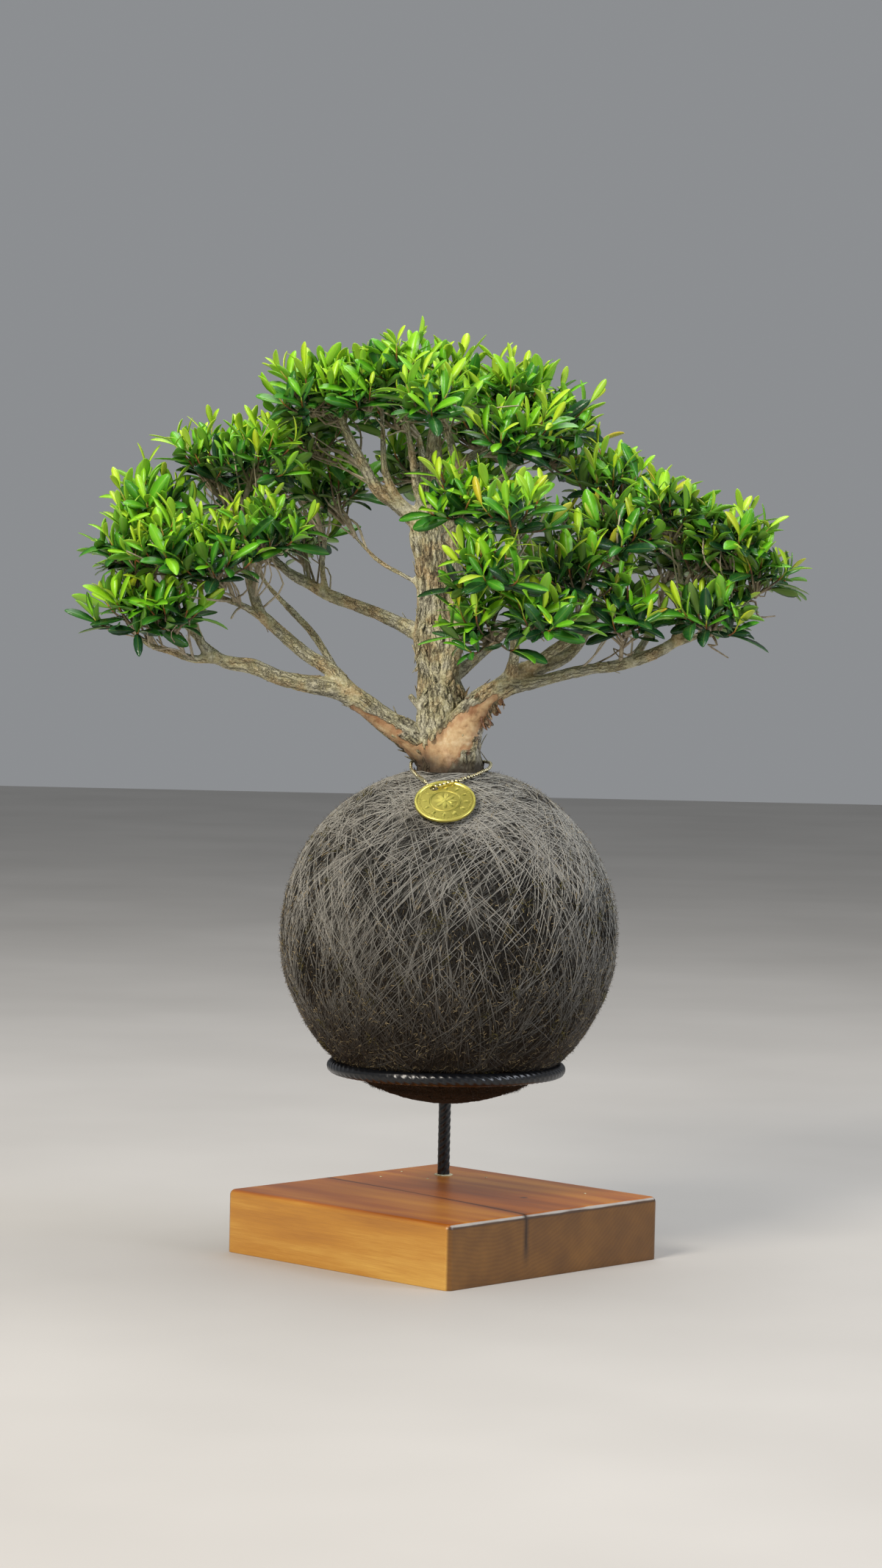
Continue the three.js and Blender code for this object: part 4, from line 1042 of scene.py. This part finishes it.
# Where the bark has come off, and where it is an old dark scar or pale grey fibre: lines through
# places in mm, with how far each reaches to both sides.
PEELED = [
    [(-11, -18, 289, 6), (-9, -18, 302, 12), (1, -21, 313, 10.5), (13, -24, 325, 8),
     (21, -25, 333, 6)],
    [(-23, -8, 300, 5.5), (-37, -8, 312, 5), (-47, -10, 320, 4.5), (-60, -12, 329, 3)],
]
SCARRED = [[(1, -20, 288, 5), (5, -20, 297, 4), (9, -19, 303, 2)]]
GREY_BARK = [[(17, -12, 293, 6), (17, -14, 306, 5), (15, -16, 318, 4)]]
FLAKES = 520
FLAKE_STATIONS = np.array([0, 0.25, 0.6, 0.9, 1.0])
TAN_FLAKES = 0.25  # the share of the flakes that are partly tan
# Where shreds hang, in mm, how widely they are spread there, in mm, and how many.
SHREDS = [((27, -21, 333), 4.5, 13), ((25, -25, 321), 4, 10), ((13, -20, 341), 4, 5)]


def limb_lines():
    """Every limb's middle line, finely divided: places, radii, directions, and length so far."""
    lines = [smooth_path(stations, LINE_STEPS * len(stations)) * MM for stations in LIMBS.values()]
    ways = [unit(np.gradient(line[:, :3], axis=0)) for line in lines]
    lengths = [np.concatenate([[0], np.cumsum(np.linalg.norm(np.diff(line[:, :3], axis=0), axis=1))])
               for line in lines]
    return lines, ways, lengths


def nearest_station(points, lines):
    """The station, among all limbs', whose round section's surface is nearest to each point, and
    how much further the next limb's surface is. The points are taken in parts, to spare memory."""
    stations = np.concatenate(lines)
    starts = np.cumsum([0] + [len(line) for line in lines[:-1]])
    found, margins = [], []
    for some in np.array_split(points, 40):
        gaps = np.linalg.norm(some[:, None] - stations[None, :, :3], axis=-1) - stations[None, :, 3]
        found.append(np.argmin(gaps, axis=1))
        two = np.partition(np.minimum.reduceat(gaps, starts, axis=1), 1, axis=1)
        margins.append(two[:, 1] - two[:, 0])
    return np.concatenate(found), np.concatenate(margins)


def beyond(points, lines):
    """How far each point lies outside the nearest of some lines with a reach, in metres."""
    gaps = []
    for line in lines:
        stations = np.array(line, float) * MM
        for a, b in zip(stations[:-1], stations[1:]):
            run = b[:3] - a[:3]
            share = np.clip((points - a[:3]) @ run / (run @ run), 0, 1)
            reach = a[3] + share * (b[3] - a[3])
            gaps.append(np.linalg.norm(points - a[:3] - share[:, None] * run, axis=1) - reach)
    return np.min(gaps, axis=0)


def melted(lines):
    """The limbs' round bars melted into one skin: its points, their normals, and its faces."""
    solid = joined([bars(line[None, :, :3], line[None, :, 3:], 16, square_to(line[None, :, :3]))
                    for line in lines])
    thing = piece("trunk_skin", solid, [], "bark")
    settle(thing, "REMESH", mode="VOXEL", voxel_size=VOXEL)
    settle(thing, "SMOOTH", factor=0.5, iterations=6)
    mesh = thing.data
    points = np.zeros(len(mesh.vertices) * 3, np.float32)
    normals = np.zeros(len(mesh.vertices) * 3, np.float32)
    corners = np.zeros(len(mesh.loops), np.int32)
    mesh.vertices.foreach_get("co", points)
    mesh.vertex_normals.foreach_get("vector", normals)
    mesh.loops.foreach_get("vertex_index", corners)
    bpy.data.objects.remove(thing)
    return points.reshape(-1, 3).astype(float), normals.reshape(-1, 3), corners.reshape(-1, 4)


def woody_shape():
    """The limbs' skin, shaped like bark: broad lobes round the limb, knots, furrows that run along
    it where a stretched noise crosses its middle value, and plates between them. Lobes, furrows and
    plates fade where two limbs meet. Peeled places stay smooth and lie lower, and so do scars. A
    place is divided by the size of a noise's features, in metres: round, round and along a limb."""
    lines, ways, lengths = limb_lines()
    points, normals, faces = melted(lines)
    near, margin = nearest_station(points, lines)
    alone = smooth_between(0, MEETING, margin)
    station, way = np.concatenate(lines)[near], np.concatenate(ways)[near]
    so_far = np.concatenate(lengths)[near]
    limb = np.concatenate([np.full(len(line), k) for k, line in enumerate(lines)])[near]
    offset = points - station[:, :3]
    run = np.sum(offset * way, axis=1)
    outward = unit(offset - run[:, None] * way)
    facing = unit(np.cross(way, ASKEW))
    across = np.cross(way, facing)
    radius = station[:, 3]
    turn_x, turn_y = np.sum(outward * facing, axis=1), np.sum(outward * across, axis=1)
    bark = np.stack([turn_x * radius + limb * LIMB_APART, turn_y * radius, so_far + run], -1)

    ragged = (0.010 * (rough_noise(bark / (0.0035, 0.0035, 0.012), 21) - 0.5)
              + 0.006 * (rough_noise(points / 0.004, 20) - 0.5))
    inside = -beyond(points, PEELED) - ragged
    peel = smooth_between(-0.0015, 0.0015, inside)
    rust = 0.6 * peel * (1 - smooth_between(0.0005, 0.0055, inside))
    scar = 1 - smooth_between(-0.002, 0.002, beyond(points, SCARRED) + 0.7 * ragged)
    pale = 1 - smooth_between(-0.002, 0.002, beyond(points, GREY_BARK) + ragged)
    thick = smooth_between(0.001, 0.010, radius)
    lobes = LOBES * alone * radius * (noise(bark / (0.011, 0.011, 0.03), 22) - 0.5) * 2
    knots = KNOTS * radius * (noise(points / 0.012, 27) - 0.5) * 2
    strips = rough_noise(bark / (0.0026, 0.0026, 0.016), 23)
    furrow = smooth_between(0.84, 0.98, 1 - np.abs(2 * strips - 1))
    plates = rough_noise(bark / (0.0045, 0.0045, 0.012), 24, 2) - 0.5
    rough = (1 - 0.85 * peel) * (alone * thick * (PLATES * plates - FURROWS * furrow)
                                 + GRAIN * (rough_noise(points / 0.0018, 25) - 0.5))
    rough = rough - PEEL_DEPTH * peel - SCAR_DEPTH * scar
    points = points + normals * (lobes + knots + rough)[:, None]
    crack = np.maximum(0.8 * furrow * thick * (1 - peel), 0.8 * scar)
    marks = {"bark": bark, "peel": peel * (1 - scar), "crack": crack, "pale": pale,
             "rust": rust, "alone": alone}
    return Shape(points, [(0, faces)], marks), normals, way, radius, peel


def bark_flakes(points, normals, ways, radii, peel):
    """Loose strips of bark: small blades that lie along a limb and curl off it at one end, at
    random places, and more of them where the wood is thick. Bigger rusty shreds that curl more
    hang from a few places, spread round each by a normal random step."""
    rng = np.random.default_rng(40)
    chance = np.clip(radii - 0.002, 0, 0.012) * (1 - 0.9 * peel)
    at = rng.choice(len(points), FLAKES, replace=False, p=chance / chance.sum())
    out = normals[at]
    way = ways[at] * np.sign(rng.uniform(-1, 1, (FLAKES, 1))) + rng.normal(0, 0.2, (FLAKES, 3))
    heading = unit(way + out * rng.uniform(0.0, 0.14, (FLAKES, 1)))
    size = 0.0018 + 0.22 * radii[at]
    flakes = blades(points[at] - out * 0.0002, heading, out, size * rng.uniform(0.9, 2.2, FLAKES),
                    size * rng.uniform(0.35, 0.8, FLAKES), -rng.uniform(0.0, 0.16, FLAKES), -0.15, 0,
                    thickness=0.0004, stations=FLAKE_STATIONS,
                    peel=0.35 * (rng.random(FLAKES) < TAN_FLAKES))
    places = np.concatenate([rng.normal(np.array(place) * MM, spread * MM / 2, (count, 3))
                             for place, spread, count in SHREDS])
    count = len(places)
    at = np.array([np.argmin(np.linalg.norm(points - place, axis=1)) for place in places])
    out = normals[at]
    heading = unit(0.2 * out - 0.7 * UP + rng.normal(0, 0.4, (count, 3)))
    shreds = blades(points[at] - out * 0.0003, heading, out + rng.normal(0, 0.3, (count, 3)),
                    rng.uniform(0.003, 0.007, count), rng.uniform(0.0015, 0.0042, count),
                    rng.uniform(-0.9, 0.2, count), rng.uniform(-0.5, 0.5, count), 0,
                    thickness=0.0005, rust=rng.uniform(0.3, 1, count))
    loose = joined([flakes, shreds])
    loose.marks["bark"] = loose.points.copy()
    loose.marks["alone"] = np.ones(len(loose.points))
    return loose


def trunk_and_limbs():
    """The shrub's wood in its bark, and the bark that has come loose."""
    skin, normals, way, radius, peel = woody_shape()
    bark = bark_finish()
    piece("old_wood", skin, [bark], "bark", "trunk_and_limbs")
    piece("loose_bark", bark_flakes(skin.points, normals, way, radius, peel), [bark], "bark")


# ---------------------------------------------------------------- leaves and twigs

SHOOTS = 13
LEAF_PAIRS = 4
LEAF_LENGTH = 0.0202
LEAF_WIDTH = 0.0055
LEAF_THICKNESS = 0.00032
LOW_OPENING, HIGH_OPENING = 66, 30  # degrees off the shoot, of its lowest and highest leaves
BLADE_STATIONS = np.array([0, 0.06, 0.22, 0.42, 0.64, 0.84, 0.96, 1.0])
# A blade's section has an edge, the midrib, the other edge and three points underneath: shares of
# its half width across, and of half its thickness up.
BLADE_ACROSS = np.array([1, 0, -1, -0.55, 0, 0.55])
BLADE_RISE = np.array([0, 1, 0, -1, -1.2, -1])
LOWEST_LEAF = -0.15  # no leaf hangs steeper than this share of its length
SHRUB_TOP = 0.5465  # no shoot's tip stands higher
PAD_RADIUS = 0.0245
PAD_HEIGHT = 0.020
LEADERS = 0.15  # the share of shoots that stand above the dome
LEADER_RISE = 0.007
FEEDERS = 6
TWIG_RADII = (0.0015, 0.0009)  # from its root to its end
SHOOT_RADIUS = 0.0009
SHOOT_TAPER = 0.0005  # its radius is less by this at its tip
TWIG_STATIONS = 9


def blades(places, headings, upper, lengths, widths, arch, fold, finish, thickness=LEAF_THICKNESS,
           stations=BLADE_STATIONS, **marks):
    """Leaf blades, each a thin closed body. Along it, the half width is the share itself times the
    rest to the power 0.6, so it is widest past the middle and has a blunt tip. Its halves rise from
    the midrib by the fold, and it bends back by the square of the share times the arch."""
    share = stations[None, :, None]
    half = share * (1 - share) ** 0.6
    half = np.maximum(half / half.max(), 0.09)
    lengths, widths, arch, fold = (
        np.reshape(np.broadcast_to(v, len(places)), (-1, 1, 1)) for v in
        (lengths, widths, arch, fold))
    x = lengths * share * (1 - 0.3 * np.abs(arch) * share)
    y = widths / 2 * half * BLADE_ACROSS
    z = (thickness / 2 * np.minimum(half * 2, 1) * BLADE_RISE
         + fold * np.abs(y) - arch * lengths * share**2)
    headings = unit(headings)
    sideways = unit(np.cross(upper, headings))
    above = np.cross(headings, sideways)
    points = (places[:, None, None] + (x + 0 * y)[..., None] * headings[:, None, None]
              + y[..., None] * sideways[:, None, None] + z[..., None] * above[:, None, None])
    grid = z.shape
    marks = {m: np.reshape(v, (-1, 1, 1)) for m, v in marks.items()}
    marks |= {"under": BLADE_RISE < 0, "across": BLADE_ACROSS, "along": share}
    marks = {m: np.broadcast_to(v, grid).ravel().astype(float) for m, v in marks.items()}
    return Shape(points, ring_faces(grid, False, finish), marks)


def place_on_limb(limb, along):
    """A place on a limb's middle line, as a fraction of its stations."""
    stations = np.array(LIMBS[limb], float)
    spot = along * (len(stations) - 1)
    before = min(int(spot), len(stations) - 2)
    share = spot - before
    return ((1 - share) * stations[before] + share * stations[before + 1])[:3] * MM


def bend(p0, p1, p2, p3, share):
    """The cubic through p0 and p3 that leaves towards p1 and arrives from p2, and its direction."""
    rest = 1 - share
    place = rest**3 * p0 + 3 * rest**2 * share * p1 + 3 * rest * share**2 * p2 + share**3 * p3
    way = rest**2 * (p1 - p0) + 2 * rest * share * (p2 - p1) + share**2 * (p3 - p2)
    return place, unit(way)


def shoot_curves(rng, number, root, target, stop, side, rise):
    """Every shoot's cubic, as four columns of places, from the twig to a tip. The tips are spread by
    the golden angle over a dome at the target, with a few leaders that stand above it."""
    reach = np.linalg.norm(target - root)
    axis = unit(target - root)
    shoot = np.arange(SHOOTS)
    turn = shoot * GOLDEN_ANGLE + number
    spread = np.sqrt((shoot + 0.35) / SHOOTS)
    out = np.cos(turn)[:, None] * side + np.sin(turn)[:, None] * np.cross(rise, side)
    leader = rng.random(SHOOTS) < LEADERS
    level = (PAD_HEIGHT * (0.02 - 0.6 * spread**2) + rng.normal(0, 0.005, SHOOTS)
             + LEADER_RISE * leader)
    tips = (target + out * (PAD_RADIUS * spread)[:, None] * rng.uniform(0.85, 1.15, (SHOOTS, 1))
            + rise * level[:, None])
    tips[:, 2] = np.minimum(tips[:, 2], SHRUB_TOP)
    start = root + (stop - root) * rng.uniform(0.5, 1.0, (SHOOTS, 1))
    start -= 0.05 * reach * UP
    lean = unit(out * (0.15 + 0.5 * spread)[:, None] + rise + rng.normal(0, 0.16, (SHOOTS, 3)))
    length = np.linalg.norm(tips - start, axis=1)[:, None]
    return [v[:, None] for v in (start, start + axis * length * 0.25 + out * length * 0.25,
                                 tips - lean * length * 0.45, tips)]


def bare_twigs(rng, limb, along, target, rise):
    """Thin crooked twigs, from the limb on both sides of the spray's root into the lower half of its
    dome, each a smooth path through two knees."""
    feet = np.array([place_on_limb(limb, np.clip(along + d, 0.1, 1))
                     for d in rng.uniform(-0.16, 0.1, FEEDERS)])
    ends = target - rise * rng.uniform(0.004, 0.024, (FEEDERS, 1)) + rng.normal(
        0, 0.009, (FEEDERS, 3))
    knees = [feet + (ends - feet) * k + rng.normal(0, 0.0035, (FEEDERS, 3)) for k in (0.35, 0.7)]
    crooked = np.stack([smooth_path(p, TWIG_STATIONS) for p in np.stack([feet, *knees, ends], 1)])
    taper = np.linspace(1, 0.45, TWIG_STATIONS)[None, :, None]
    thin = taper * rng.uniform(0.0005, 0.0010, (FEEDERS, 1, 1))
    return bars(crooked, thin, 5, square_to(crooked), finish=1,
                age=rng.uniform(0.7, 1.0, (FEEDERS, 1, 1)))


def shoot_leaves(rng, curve, target):
    """Pairs of leaves on every shoot, each pair a quarter turn from the one below: wide open and old
    at the shoot's foot, steep and new at its tip. Low in the dome, at the back and on the right the
    leaves are made older and darker: partly older leaves, partly painted shade. The new ones are
    flushed with orange here and there."""
    pair = np.arange(LEAF_PAIRS) / (LEAF_PAIRS - 1)
    where = 0.42 + 0.57 * pair**0.9
    foot, up_stem = bend(*curve, where[None, :, None])
    beside = unit(np.cross(up_stem, rng.normal(size=(SHOOTS, 1, 3))))
    ahead = np.cross(up_stem, beside)
    quarter = np.arange(LEAF_PAIRS)[None, :] * np.pi / 2 + rng.normal(0, 0.25, (SHOOTS, LEAF_PAIRS))
    both = np.stack([quarter, quarter + np.pi], -1)[..., None]
    outward = np.cos(both) * beside[:, :, None] + np.sin(both) * ahead[:, :, None]
    opening = np.radians(LOW_OPENING + (HIGH_OPENING - LOW_OPENING) * pair)[None, :, None, None]
    opening = opening + rng.normal(0, 0.24, both.shape)
    stem_way = up_stem[:, :, None]
    heading = unit(np.cos(opening) * stem_way + np.sin(opening) * outward + 0.12 * UP)
    heading[..., 2] = np.maximum(heading[..., 2], LOWEST_LEAF)
    upper = np.sin(opening) * stem_way - np.cos(opening) * outward
    upper = upper + 0.3 * UP + rng.normal(0, 0.32, upper.shape)

    each = (SHOOTS, LEAF_PAIRS, 2)
    sizes = (0.88 + 0.24 * np.sin(np.pi * (0.1 + 0.75 * pair)) - 0.2 * pair**6)[None, :, None]
    sizes = (sizes * np.minimum(rng.normal(0.96, 0.19, each), 1.2)).ravel()
    # Partly painted shade: sprays on the right and at the back, and leaves low in the dome, are made
    # older and darker.
    shade = (0.5 + 0.3 * smooth_between(0.0, 0.09, target[0])
             + 0.35 * smooth_between(0.02, 0.09, target[1]))
    age = (shade * (1 - pair) ** 0.9 * 1.15)[None, :, None] + rng.normal(0.06, 0.1, each)
    low = smooth_between(0.004, 0.026, target[2] - foot[..., 2:])
    age = age + 0.4 * low + rng.normal(0, 0.1, (SHOOTS, 1, 1))
    age = np.clip(age.ravel(), 0, 1)
    warm = -0.42 + 0.3 * smooth_between(0.0, 0.06, target[0])
    flush = np.clip(rng.normal(warm, 0.35, age.shape), 0, 0.85) * (age < 0.3)
    feet = np.broadcast_to(foot[:, :, None], outward.shape).reshape(-1, 3)
    slender = rng.uniform(0.82, 1.12, age.shape) * (1 + 0.2 * age)
    return blades(
        feet, heading.reshape(-1, 3), upper.reshape(-1, 3), LEAF_LENGTH * sizes,
        LEAF_WIDTH * sizes * slender, rng.normal(0.16, 0.1, age.shape),
        rng.uniform(0.1, 0.5, age.shape), 0, age=age, flush=flush)


def spray_shape(number, limb, along, target):
    """One twig with its shoots, bare twigs and leaves. The twig sags a little on its way from the
    limb and stops below the dome that the shoots' tips are spread over."""
    rng = np.random.default_rng(1000 + number)
    root, target = place_on_limb(limb, along), np.array(target) * MM
    rise = unit(0.4 * unit(target - root) + 0.9 * UP)
    side = unit(np.cross(rise, (0.2, -0.9, 0.3)))
    middle = (root + target) / 2 - 0.07 * np.linalg.norm(target - root) * UP
    stop = target - PAD_HEIGHT * rise
    twig = bars(smooth_path([root, middle, stop], TWIG_STATIONS)[None],
                np.linspace(*TWIG_RADII, TWIG_STATIONS)[:, None], 6, side, finish=1, age=0.85)
    curve = shoot_curves(rng, number, root, target, stop, side, rise)
    shares = np.linspace(0, 1, 8)[None, :, None]
    lines, _ = bend(*curve, shares)
    shoots = bars(lines, SHOOT_RADIUS - SHOOT_TAPER * shares, 5, square_to(lines), finish=1,
                  age=0.8 - 0.8 * shares**2)
    feeders = bare_twigs(rng, limb, along, target, rise)
    return joined([shoot_leaves(rng, curve, target), twig, shoots, feeders])


def foliage():
    """Every spray as a piece of its own."""
    finishes = [leaf_finish(), twig_finish()]
    for number, (limb, along, target) in enumerate(SPRAYS, start=1):
        shape = spray_shape(number, limb, along, target)
        piece(f"leaves_{number:02d}", shape, finishes, "foliage", f"leafy_spray_{number:02d}")


# ---------------------------------------------------------------- chain, clasp and medal

BEAD_RADIUS = 0.00105
BEAD_PITCH = 0.00252
BEAD_FLAT = 0.28  # half the angle of a bead's flat ends, in radians
LINK_RADIUS = 0.00026
CLASP_RADIUS = 0.0012
# The medal's own sizes are in mm. Its hole is a place and a radius.
MEDAL_RADIUS = 18
MEDAL_FIELD = 1.6  # the level that its design rises from
MEDAL_HOLE = (-7.2, 11.5, 2.6)
MEDAL_SIDES = 336


def medal_axes():
    """The medal's own axes as rows (across, uphill, outward), and the middle of its underside."""
    out = np.array([math.cos(MEDAL_LATITUDE) * math.cos(MEDAL_AZIMUTH),
                    math.cos(MEDAL_LATITUDE) * math.sin(MEDAL_AZIMUTH), math.sin(MEDAL_LATITUDE)])
    across = unit(np.cross(UP, out))
    return np.array([across, np.cross(out, across), out]), BALL_MIDDLE + out * (
        BALL_RADIUS + MEDAL_LIFT)


def on_medal(x, y, z):
    """A place in mm along the medal's own axes, in the frame's."""
    axes, middle = medal_axes()
    return np.array([x, y, z]) * MM @ axes + middle


def over_ball(x, y):
    """A place on the thread at x and y in mm, lifted off it by the chain's own lift."""
    reach = BALL_RADIUS + CHAIN_LIFT
    flat = np.array([x, y]) * MM
    return np.array([*flat, BALL_MIDDLE[2] + math.sqrt(reach**2 - flat @ flat)])


def chain_route():
    """The chain from the clasp's lower end, up through the medal's hole and over its edge, along
    the front of the ball, behind the trunk and down the left side to the clasp's upper end."""
    medal_part = [(-12.8, 22, -3.5), (-11.2, 18.6, -2.8), (-9.4, 15, -2), (-8, 12.6, -1),
                  (-7.2, 11.5, 0.9), (-6, 11.9, 2.9), (-3.6, 12.6, 2.9), (-1.3, 13.9, 2.9),
                  (1.9, 15.4, 3), (4.8, 16.4, 3.2), (6.9, 18.2, 1.9)]
    front = [(6.4, -39), (10, -35.6), (14.2, -30), (18.6, -20), (21.4, -10.5)]
    behind = [(22.9, 0.5, 296.8), (22.2, 9.6, 297.8), (17, 17.8, 298.2), (8, 22.4, 298),
              (-1, 22.8, 297.8), (-11, 22.2, 297.8), (-19.4, 17.4, 298), (-24, 8.5, 297.8),
              (-25, -1.5, 296.6)]
    left = [(-24.8, -11), (-23.6, -20), (-21.8, -28.4), (-20.4, -33)]
    return np.array([*(on_medal(*p) for p in medal_part), *(over_ball(*p) for p in front),
                     *(np.array(p) * MM for p in behind), *(over_ball(*p) for p in left)])


def bead_shapes(route):
    """Beads at every pitch along the route, each a ball whose ends are cut flat, darker towards its
    ends with painted shade, and the wire links between them as thin straight bars, dark all over as
    painted shade in the gaps between beads."""
    length = np.sum(np.linalg.norm(np.diff(smooth_path(route, 600), axis=0), axis=1))
    count = int(length / BEAD_PITCH)
    middles = smooth_path(route, count)
    way = unit(np.gradient(middles, axis=0))[:, None]
    turns = np.linspace(BEAD_FLAT, np.pi - BEAD_FLAT, 8)
    paths = middles[:, None] - way * (BEAD_RADIUS * np.cos(turns))[None, :, None]
    outward = unit(middles - BALL_MIDDLE)[:, None]
    # Painted shade: each bead is darker towards its ends, where it meets the next.
    beads = bars(paths, (BEAD_RADIUS * np.sin(turns))[None, :, None], 12, outward,
                 hollow=(1 - np.sin(turns) ** 2)[None, :, None])
    ends = np.stack([middles[:-1], middles[1:]], 1)
    # Painted shade: the links are dark all over, in the gaps between beads.
    links = bars(ends, LINK_RADIUS, 5, outward[:-1], hollow=1.0)
    return joined([beads, links])


def clasp_shape(route):
    """A pressed sleeve with round ends: its radius follows a low power of a sine along it, and is
    less by a third along one side, as a narrow groove."""
    start, end = route[0], route[-1]
    middle = (start + end) / 2
    out = unit(middle - BALL_MIDDLE)
    half = np.linalg.norm(end - start) / 2 - 0.0004
    turns = np.linspace(0.15, np.pi - 0.15, 16)
    bulge = np.sin(turns) ** 0.35
    paths = middle + out * 0.0003 - unit(end - start) * (half * np.cos(turns))[:, None]
    round_way = around(20)
    groove = 1 - 0.35 * np.exp(-((np.minimum(round_way, 2 * np.pi - round_way)) / 0.22) ** 2)
    radii = CLASP_RADIUS * bulge[:, None] * groove
    return bars(paths[None], radii[None], 20, out, hollow=2 * (1 - groove))


def medal_height(radius, turn):
    """The height of the medal's face above its field, in mm, at a radius in mm: a flat raised rim,
    a row of 48 beads, twelve small leaves that point outwards, a raised ring, and an eight-petalled
    flower with a button in its middle."""
    rim = smooth_between(16.2, 16.7, radius)
    beads = np.clip(1 - np.hypot((radius - 15.1) / 0.6, np.sin(24 * turn) / 0.6), 0, 1)
    leaf = np.clip(1 - np.hypot((radius - 12) / 1.8, np.sin(6 * turn) / 0.55), 0, 1)
    ring = np.exp(-(((radius - 8.8) / 0.45) ** 2))
    petal = np.clip(1 - radius / (3 + 4 * np.abs(np.cos(4 * turn)) ** 0.8), 0, 1)
    button = np.clip(1 - (radius / 1.8) ** 2, 0, 1)
    return (0.45 * rim + 0.3 * beads**0.6 + 0.28 * leaf**0.6 + 0.26 * ring + 0.34 * petal**0.5
            + 0.2 * button)


def medal_shape():
    """A turned disc whose top rows carry the face's height, from the rim in to the middle. Its low
    places are dark with grime."""
    edge = MEDAL_RADIUS
    body = [(0.25, 0), (edge / 2, 0), (edge - 0.4, 0), (edge, 0.3), (edge, MEDAL_FIELD + 0.15)]
    rings = np.concatenate([[edge - 0.1, edge - 0.4], np.linspace(edge - 0.8, 0.25, 92)])
    turns = around(MEDAL_SIDES)
    face = medal_height(rings[:, None], turns[None])
    height = np.concatenate([np.zeros((len(body), MEDAL_SIDES)), face])
    rows = body + [(radius, MEDAL_FIELD) for radius in rings]
    disc = turned(in_metres(rows), MEDAL_SIDES, height * MM)
    grime = 1 - smooth_between(0.02, 0.3, height)
    grime[:len(body)] = 0.3
    disc.marks["hollow"] = (0.4 * grime).ravel()
    axes, middle = medal_axes()
    disc.points = disc.points @ axes + middle
    return disc


def jewellery():
    """The chain, its clasp, and the medal with a hole for the chain."""
    chain_gilt = gilt_brass("gilt brass beads", "#fff6cc", "#4a3a14", 0.26)
    route = chain_route()
    piece("ball_chain", bead_shapes(route), [chain_gilt], "gilt_brass", "bead_chain")
    piece("sleeve_clasp", clasp_shape(route), [chain_gilt], "gilt_brass", "chain_clasp")
    struck = gilt_brass("struck gilt brass", "#fff284", "#8a761e", 0.33)
    disc = piece("struck_medal", medal_shape(), [struck], "gilt_brass", "medal")
    x, y, radius = MEDAL_HOLE
    hole = np.array([[on_medal(x, y, -2), on_medal(x, y, 4)]])
    cut(disc, bars(hole, radius * MM, 28, medal_axes()[0][0]))


# ---------------------------------------------------------------- floor and light

FLOOR_SIZE = 12.0
LAMPS = [  # name, place, size, watts, colour: each points at the ball and the crown
    ("key_softbox", (-1.3, -1.9, 1.9), 0.9, 72, "#fff6ea"),
    ("side_softbox", (1.9, -0.9, 1.3), 1.0, 26, "#eef3ff"),
    ("top_softbox", (0.1, 0.5, 2.3), 1.4, 30, "#ffffff"),
]
AIM = np.array([0, 0, 0.36])
SKY, SKY_STRENGTH = "#c9ccd0", 0.45


def floor_paint():
    """Matt pale floor paint, with clouds a third of a metre wide."""
    material, tree, place = new_material("pale floor paint")
    cloud = add(tree, "TexNoise", place, Scale=3.0, Detail=3.0)
    colour = add(tree, "ValToRGB", cloud, stops=((0.3, "#b5b2ad"), (0.7, "#bfbcb7")))
    return finished(material, Base_Color=colour, Roughness=0.7)


def studio():
    """A pale floor, pale even light from all round, and three large soft lamps."""
    half = FLOOR_SIZE / 2
    mesh = bpy.data.meshes.new("floor")
    mesh.from_pydata([(-half, -half, 0), (half, -half, 0), (half, half, 0), (-half, half, 0)], [],
                     [(0, 1, 2, 3)])
    mesh.materials.append(floor_paint())
    floor = bpy.data.objects.new("floor", mesh)
    bpy.context.scene.collection.objects.link(floor)
    for name, place, size, watts, tint in LAMPS:
        data = bpy.data.lights.new(name, "AREA")
        data.size = size
        data.energy = watts
        data.color = srgb(tint)[:3]
        lamp = bpy.data.objects.new(name, data)
        back = unit(np.array(place) - AIM)
        level = unit(np.cross(UP, back))
        axes = np.array([level, np.cross(back, level), back]).T
        lamp.matrix_world = Matrix.Translation(place) @ Matrix(axes.tolist()).to_4x4()
        bpy.context.scene.collection.objects.link(lamp)
    world = bpy.data.worlds.new("pale studio")
    world.use_nodes = True
    background = world.node_tree.nodes["Background"]
    feed(background.inputs["Color"], SKY)
    feed(background.inputs["Strength"], SKY_STRENGTH)
    bpy.context.scene.world = world
    bpy.context.scene.view_settings.view_transform = "Standard"


# ---------------------------------------------------------------- the whole object

wooden_block()
filler_collar()
stand()
wound_ball()
trunk_and_limbs()
foliage()
jewellery()
studio()
